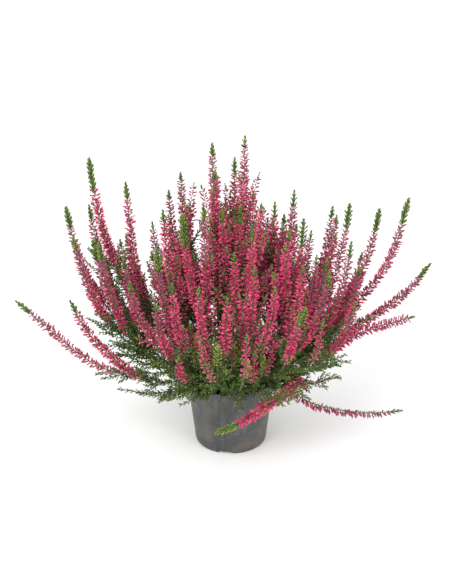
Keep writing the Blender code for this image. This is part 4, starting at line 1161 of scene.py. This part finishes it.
def dress_hanging_shoot(bm, track, buds_from, budded, green_from, rng):
    """The extra sprigs of the hanging shoot, and the small twigs under it."""
    for sprig in range(HANGING_SPRIGS):
        share = HANGING_SPRIGS_FROM + HANGING_SPRIGS_OVER * sprig / HANGING_SPRIGS
        lean = math.radians(rng.uniform(*HANGING_SPRIG_LEAN))
        length = rng.uniform(*HANGING_SPRIG_LENGTH)
        distance, angle = buds_from + share * budded, sprig * GOLDEN_TURN
        route = twig_from(track, distance, angle, lean, length, HANGING_RISES[0], rng)
        flowering_sprig(bm, route, rng)
    for twig in range(HANGING_TWIGS):
        distance = green_from - HANGING_TWIGS_FROM - HANGING_TWIG_STEP * twig
        turns = [step * math.tau / HANGING_TURNS for step in range(HANGING_TURNS)]
        down = min(turns, key=lambda turn: track.heading(distance, turn, math.pi / 2)[2].z)
        angle = down + rng.uniform(-HANGING_TWIG_TURN, HANGING_TWIG_TURN)
        length = rng.uniform(*HANGING_TWIG_LENGTH)
        route = twig_from(track, distance, angle, HANGING_TWIG_LEAN, length, HANGING_RISES[1], rng)
        green_twig(bm, route, HANGING_TWIG_RADIUS, 1.0, rng)


def size_at(share):
    """The size of a bud along its stretch: smaller at the low end, and again towards the green tip."""
    low = min(1.0, LOWEST_BUD_SIZE + BUD_GROWTH * share)
    return low * (1.0 - SMALLER_BY * max(0.0, share - SMALLER_FROM) / (1.0 - SMALLER_FROM))


def grow_bud_rings(bm, track, buds_from, green_from, shoot, rng):
    """Rings of buds, each bud with a small leaf under it."""
    habit = shoot.habit
    rings = round((green_from - buds_from) / (RING_PITCH * habit.spacing))
    for ring in range(rings):
        share = (ring + 0.5) / rings
        centre = buds_from + (green_from - buds_from) * share
        for bud in range(RING_BUDS):
            distance = centre + rng.uniform(-RING_JITTER, RING_JITTER) * habit.spacing
            angle = (ring / 2 + bud) * math.tau / RING_BUDS + rng.uniform(-RING_TURN, RING_TURN)
            above = track.heading(distance, angle, math.pi / 2)[2].z > LEVEL_TOP
            if not (shoot.level and above):
                plant_bud(bm, track, distance, angle, share, habit.size * size_at(share), habit, rng)
            under = angle + rng.uniform(-BRACT_TURN, BRACT_TURN)
            plant_bract(bm, track, distance - BRACT_DROP, under, share, rng)


def make_spike(number, shoot, shoots):
    rng = random.Random(1000 * SPIKE_SEED + number)
    bm = bmesh.new()
    length = length_of(shoot.route)
    grow_spike(bm, shoot, FOOT_SHARE * length + 0.5 * SEAT_GAP, rng)
    for other in shoots:
        if other.first is shoot:
            grow_spike(bm, other, FORK_SHARE * length - FORK_OVERLAP, rng)
    node = f"spike_{number:02d}"
    place_piece("flower_" + node, bm, PLANT_MATERIALS, [node])


# Woody stems with their green undergrowth

def make_woody_stem(number, place, mains, leafy):
    rng = random.Random(1000 * TWIG_SEED + number)
    bm = bmesh.new()
    line = [(place.x, place.y, height) for height in (*TRUNK_HEIGHTS, SOIL_CROWN_HEIGHT + 1)]
    line.append((place.x * TRUNK_SPREAD, place.y * TRUNK_SPREAD, TRUNK_TOP))
    trunk = Track(smooth_route(line, TRUNK_STATIONS))
    radii = (TRUNK_RADIUS, TRUNK_TAPER * TRUNK_RADIUS)
    grow_stem(bm, trunk, 0.0, trunk.length, radii, TRUNK_STEP, TRUNK_SIDES, BARK, (0, 0))
    for shoot in mains:
        if shoot.stem == number:
            grow_branch(bm, Track(shoot.route), rng)
    for count, shoot in enumerate(leafy):
        if shoot.stem == number:
            grow_leafy_shoot(bm, shoot, count, rng)
    if number:
        grow_skirt(bm, place, rng)
    node = f"woody_stem_{number}"
    place_piece("leafy_" + node, bm, PLANT_MATERIALS, [node])


def grow_branch(bm, track, rng):
    """The lower part of a shoot, up to where its spike begins, with the green twigs that it bears."""
    end = FOOT_SHARE * track.length - 0.5 * SEAT_GAP
    radii = (BRANCH_RADIUS, FLOWER_STEM_RADIUS[0])
    grow_stem(bm, track, 0.0, end, radii, BRANCH_STEP, BRANCH_SIDES, BARK, (0, 0))
    distance = BRANCH_TWIGS_FROM * end
    while distance < end:
        angle = rng.uniform(0, math.tau)
        lean = math.radians(rng.uniform(*TWIGS_ON_BRANCHES.leans))
        length = rng.uniform(*TWIGS_ON_BRANCHES.lengths)
        rise = rng.uniform(*TWIGS_ON_BRANCHES.rises)
        route = twig_from(track, distance, angle, lean, length, rise, rng)
        green_twig(bm, route, BRANCH_TWIG_RADIUS, rng.uniform(*BRANCH_TWIG_AGES), rng, BRANCH_TWIG_BARE)
        distance += rng.uniform(*TWIGS_ON_BRANCHES.steps)


def grow_leafy_shoot(bm, shoot, count, rng):
    track = Track(shoot.route)
    bare = LEAFY_BARE * track.length
    if count in SPARSE_LEAFY:
        grow_sparse_shoot(bm, track, bare, rng)
        return
    bright = count >= UPRIGHT_LEAFY
    age = BRIGHT_AGE if bright else LEAFY_AGE
    if bright:
        end = track.length - BRIGHT_STEM_END
        radii = (LEAFY_RADIUS, TWIG_TAPER * LEAFY_RADIUS)
        grow_stem(bm, track, 0.0, end, radii, TWIG_STEM_STEP, TWIG_STEM_SIDES, STEM, TWIG_STEM_AGES)
        leafy_tip(bm, track, BRIGHT_TIP_FROM * track.length, end, BRIGHT_FULLNESS, rng, FRESH_AND_PAINTED_LIGHT_TINTS)
    else:
        green_twig(bm, shoot.route, LEAFY_RADIUS, age, rng, bare)
    distance = bare
    twigs_to = BRIGHT_TWIGS_TO * track.length if bright else track.length - LEAFY_TWIGS_END
    while distance < twigs_to:
        angle = rng.uniform(0, math.tau)
        lean = math.radians(rng.uniform(*TWIGS_ON_LEAFY.leans))
        length = rng.uniform(*TWIGS_ON_LEAFY.lengths) * (1.0 - TWIG_NARROWER * distance / track.length)
        rise = rng.uniform(*TWIGS_ON_LEAFY.rises)
        if count in BACK_LEAFY:
            length *= BACK_TWIG_LENGTH
            rise += BACK_TWIG_RISE
        route = twig_from(track, distance, angle, lean, length, rise, rng)
        green_twig(bm, route, TWIG_RADIUS, age, rng)
        distance += rng.uniform(*TWIGS_ON_LEAFY.steps)
    if count == BUDDED_TWIG:
        for ring in range(TWIG_BUD_RINGS):
            distance = (TWIG_BUDS_FROM + TWIG_BUD_STEP * ring) * track.length
            for side in range(2):
                angle = ring * math.pi / 2 + side * math.pi
                habit = WILD_HABITS[LEVEL_SHOOT]
                plant_bud(bm, track, distance, angle, TWIG_BUD_SHARE, TWIG_BUD_SIZE, habit, rng)


def grow_sparse_shoot(bm, track, bare, rng):
    """A thin dark leafy shoot, with a few side shoots on its lower part."""
    shoot_age, twig_age = SPARSE_AGES
    green_twig(bm, track.points, LEAFY_RADIUS, shoot_age, rng, bare, SPARSE_TWIG)
    distance = bare
    while distance < SPARSE_TWIGS_TO * track.length:
        lean = math.radians(rng.uniform(*TWIGS_ON_SPARSE.leans))
        angle, length = rng.uniform(0, math.tau), rng.uniform(*TWIGS_ON_SPARSE.lengths)
        route = twig_from(track, distance, angle, lean, length, TWIGS_ON_SPARSE.rises, rng)
        green_twig(bm, route, TWIG_RADIUS, twig_age, rng)
        distance += rng.uniform(*TWIGS_ON_SPARSE.steps)


def grow_skirt(bm, place, rng):
    """Short twigs that spread from a stem's foot over the peat and the rim of the pot."""
    outward = math.atan2(place.y, place.x)
    for _ in range(SKIRT_TWIGS):
        heading = outward + rng.uniform(-SKIRT_TURN, SKIRT_TURN)
        length = rng.uniform(*SKIRT_LENGTH)
        start = Vector((place.x, place.y, rng.uniform(SKIRT_LOWEST, TRUNK_TOP)))
        away = Vector((math.cos(heading), math.sin(heading), 0))
        rise = rng.uniform(*SKIRT_RISE)
        middle = start + away * (SKIRT_MIDDLE * length) + Vector((0, 0, rise))
        end = start + away * length + Vector((0, 0, rise - rng.uniform(*SKIRT_DROOP)))
        route = smooth_route([start, middle, end], SKIRT_STATIONS)
        green_twig(bm, route, BRANCH_TWIG_RADIUS, rng.uniform(*SKIRT_AGES), rng, SKIRT_BARE)


# Pot and peat

def wall_radius(height):
    """Outside radius of the pot's straight wall, below the lip."""
    top = RIM_HEIGHT - RIM_LIP_DEPTH
    share = (height - BASE_ROUND_HEIGHT) / (top - BASE_ROUND_HEIGHT)
    return BASE_RADIUS + share * (RIM_RADIUS - RIM_LIP_REACH - BASE_RADIUS)


def bottom_edge(inset, lift):
    """The rounded bottom edge, from the foot up to the wall, set in by the wall's thickness inside."""
    points = []
    for step in range(EDGE_STEPS + 1):
        angle = step / EDGE_STEPS * math.pi / 2
        radius = FOOT_OUTER_RADIUS + (BASE_RADIUS - FOOT_OUTER_RADIUS) * math.sin(angle) - inset
        points.append((radius, lift + (BASE_ROUND_HEIGHT - lift) * (1 - math.cos(angle))))
    return points


def pot_profile():
    """From the middle of the floor out over the foot, up the wall, over the lip and back down inside.

    The lip's corners are rounded by a few tenths of a millimetre.
    """
    lip_foot = RIM_HEIGHT - RIM_LIP_DEPTH
    inside_top = wall_radius(RIM_HEIGHT) - WALL
    profile = [(0.0, FOOT_HEIGHT), (FOOT_INNER_RADIUS - 1.0, FOOT_HEIGHT), (FOOT_INNER_RADIUS, 0.0)]
    profile += bottom_edge(0.0, 0.0)
    profile += [
        (wall_radius(MID_WALL_HEIGHT), MID_WALL_HEIGHT), (wall_radius(lip_foot - 0.6), lip_foot - 0.6),
        (wall_radius(lip_foot) + 0.3, lip_foot), (RIM_RADIUS - 0.4, lip_foot + 0.2),
        (RIM_RADIUS, lip_foot + 0.8), (RIM_RADIUS, RIM_HEIGHT - 0.7), (RIM_RADIUS - 0.3, RIM_HEIGHT - 0.15),
        (RIM_RADIUS - 0.9, RIM_HEIGHT), (inside_top + 0.5, RIM_HEIGHT), (inside_top, RIM_HEIGHT - 0.5),
    ]
    profile += bottom_edge(WALL, FOOT_HEIGHT + WALL)[::-1] + [(0.0, FOOT_HEIGHT + WALL)]
    return profile


def foot_cutters():
    """Blocks for the notches in the foot ring and rods for the drain holes, as one object."""
    bm = bmesh.new()
    for count in range(NOTCH_COUNT):
        angle = FIRST_NOTCH_ANGLE + count * math.tau / NOTCH_COUNT
        block = bmesh.ops.create_cube(bm, size=1.0)["verts"]
        bmesh.ops.scale(bm, vec=(NOTCH_DEPTH, NOTCH_WIDTH, 2 * NOTCH_HEIGHT), verts=block)
        bmesh.ops.translate(bm, vec=(FOOT_OUTER_RADIUS, 0, 0), verts=block)
        bmesh.ops.rotate(bm, verts=block, cent=(0, 0, 0), matrix=Matrix.Rotation(angle, 3, "Z"))
    for count in range(DRAIN_COUNT):
        angle = FIRST_NOTCH_ANGLE + count * math.tau / DRAIN_COUNT
        drain = bmesh.ops.create_cone(bm, cap_ends=True, segments=DRAIN_SIDES, radius1=DRAIN_RADIUS,
                                      radius2=DRAIN_RADIUS, depth=DRAIN_DEPTH)["verts"]
        bmesh.ops.translate(bm, vec=(DRAIN_RING_RADIUS, 0, 0.5 * DRAIN_DEPTH), verts=drain)
        bmesh.ops.rotate(bm, verts=drain, cent=(0, 0, 0), matrix=Matrix.Rotation(angle, 3, "Z"))
    bmesh.ops.recalc_face_normals(bm, faces=bm.faces)
    bmesh.ops.scale(bm, vec=(METRES_PER_MM,) * 3, verts=bm.verts)
    mesh = bpy.data.meshes.new("foot_cutters")
    bm.to_mesh(mesh)
    bm.free()
    cutters = bpy.data.objects.new("foot_cutters", mesh)
    bpy.context.scene.collection.objects.link(cutters)
    return cutters


def make_pot():
    bm = turned(pot_profile(), POT_SIDES)
    for face in bm.faces:
        face.smooth = True
    pot = place_piece("nursery_pot", bm, [pot_material()], ["pot"])
    cutters = foot_cutters()
    cut = pot.modifiers.new("foot_cuts", "BOOLEAN")
    cut.operation = "DIFFERENCE"
    cut.solver = "EXACT"
    cut.object = cutters
    graph = bpy.context.evaluated_depsgraph_get()
    cut_mesh = bpy.data.meshes.new_from_object(pot.evaluated_get(graph))
    pot.modifiers.clear()
    pot.data = cut_mesh
    bpy.data.objects.remove(cutters, do_unlink=True)
    pot.data.set_sharp_from_angle(angle=SHARP_ANGLE)


def make_peat():
    floor = FOOT_HEIGHT + WALL + SEAT_GAP
    edge = wall_radius(SOIL_EDGE_HEIGHT) - WALL - SEAT_GAP
    profile = [(0.0, floor)] + bottom_edge(WALL + SEAT_GAP, floor)
    profile += [
        (edge, SOIL_EDGE_HEIGHT), (0.5 * (edge + SOIL_FLAT_RADIUS), SOIL_EDGE_HEIGHT + SOIL_SHOULDER),
        (SOIL_FLAT_RADIUS, SOIL_CROWN_HEIGHT), (0.5 * SOIL_FLAT_RADIUS, SOIL_CROWN_HEIGHT),
        (0.0, SOIL_CROWN_HEIGHT)]
    bm = turned(profile, PEAT_SIDES)
    rng = random.Random(CRUMB_SEED)
    for _ in range(CRUMBS):
        strew_crumb(bm, edge, rng)
    place_piece("peat_fill", bm, [peat_material()], ["soil"])


def strew_crumb(bm, edge, rng):
    """One squashed, uneven crumb, somewhere on top of the peat."""
    radius = (edge - CRUMB_MARGIN) * math.sqrt(rng.random())
    angle = rng.uniform(0, math.tau)
    slope = max(0.0, (radius - SOIL_FLAT_RADIUS) / (edge - SOIL_FLAT_RADIUS))
    height = SOIL_CROWN_HEIGHT - slope * (SOIL_CROWN_HEIGHT - SOIL_EDGE_HEIGHT)
    crumb = bmesh.ops.create_icosphere(bm, subdivisions=1, radius=rng.uniform(*CRUMB_SIZE))["verts"]
    bmesh.ops.scale(bm, vec=[rng.uniform(*limits) for limits in CRUMB_STRETCH], verts=crumb)
    for vert in crumb:
        vert.co *= rng.uniform(*CRUMB_ROUGHNESS)
    turn = Matrix.Rotation(rng.uniform(0, math.tau), 3, "Z")
    bmesh.ops.rotate(bm, verts=crumb, cent=(0, 0, 0), matrix=turn)
    place = (radius * math.cos(angle), radius * math.sin(angle), height)
    bmesh.ops.translate(bm, vec=place, verts=crumb)


# Studio

def area_light(name, place, width, power):
    lamp = bpy.data.lights.new(name, "AREA")
    lamp.shape = "DISK"
    lamp.size = width
    lamp.energy = power
    holder = bpy.data.objects.new(name, lamp)
    holder.location = place
    holder.rotation_euler = (Vector(LIGHT_AIM) - Vector(place)).to_track_quat("-Z", "Y").to_euler()
    bpy.context.scene.collection.objects.link(holder)


def make_floor():
    bm = bmesh.new()
    bmesh.ops.create_grid(bm, x_segments=1, y_segments=1, size=FLOOR_HALF_WIDTH)
    mesh = bpy.data.meshes.new("studio_floor")
    bm.to_mesh(mesh)
    bm.free()
    mesh.materials.append(floor_material())
    floor = bpy.data.objects.new("studio_floor", mesh)
    bpy.context.scene.collection.objects.link(floor)


def make_lights():
    world = bpy.data.worlds.new("studio")
    world.use_nodes = True
    sky = world.node_tree.nodes["Background"]
    sky.inputs["Color"].default_value = (1.0, 1.0, 1.0, 1.0)
    sky.inputs["Strength"].default_value = SKY_STRENGTH
    bpy.context.scene.world = world
    area_light("key", *KEY_LIGHT)
    area_light("fill", *FILL_LIGHT)


def make_camera():
    camera = bpy.data.cameras.new("camera")
    camera.sensor_fit = "HORIZONTAL"
    camera.sensor_width = SENSOR_WIDTH
    camera.lens = SENSOR_WIDTH * CAMERA_DISTANCE / (PHOTO_WIDTH * MM_A_PIXEL * METRES_PER_MM)
    holder = bpy.data.objects.new("camera", camera)
    away = Vector((0, -math.cos(CAMERA_ELEVATION), math.sin(CAMERA_ELEVATION)))
    holder.location = CAMERA_AIM + CAMERA_DISTANCE * away
    holder.rotation_euler = (-away).to_track_quat("-Z", "Y").to_euler()
    bpy.context.scene.collection.objects.link(holder)
    bpy.context.scene.camera = holder
    bpy.context.scene.view_settings.view_transform = "Standard"


def build():
    make_floor()
    make_lights()
    make_camera()
    make_pot()
    make_peat()
    shoots, leafy, mains = lay_out()
    for number, shoot in enumerate(mains, start=1):
        make_spike(number, shoot, shoots)
    for number, place in enumerate(stem_places()):
        make_woody_stem(number, place, mains, leafy)


build()
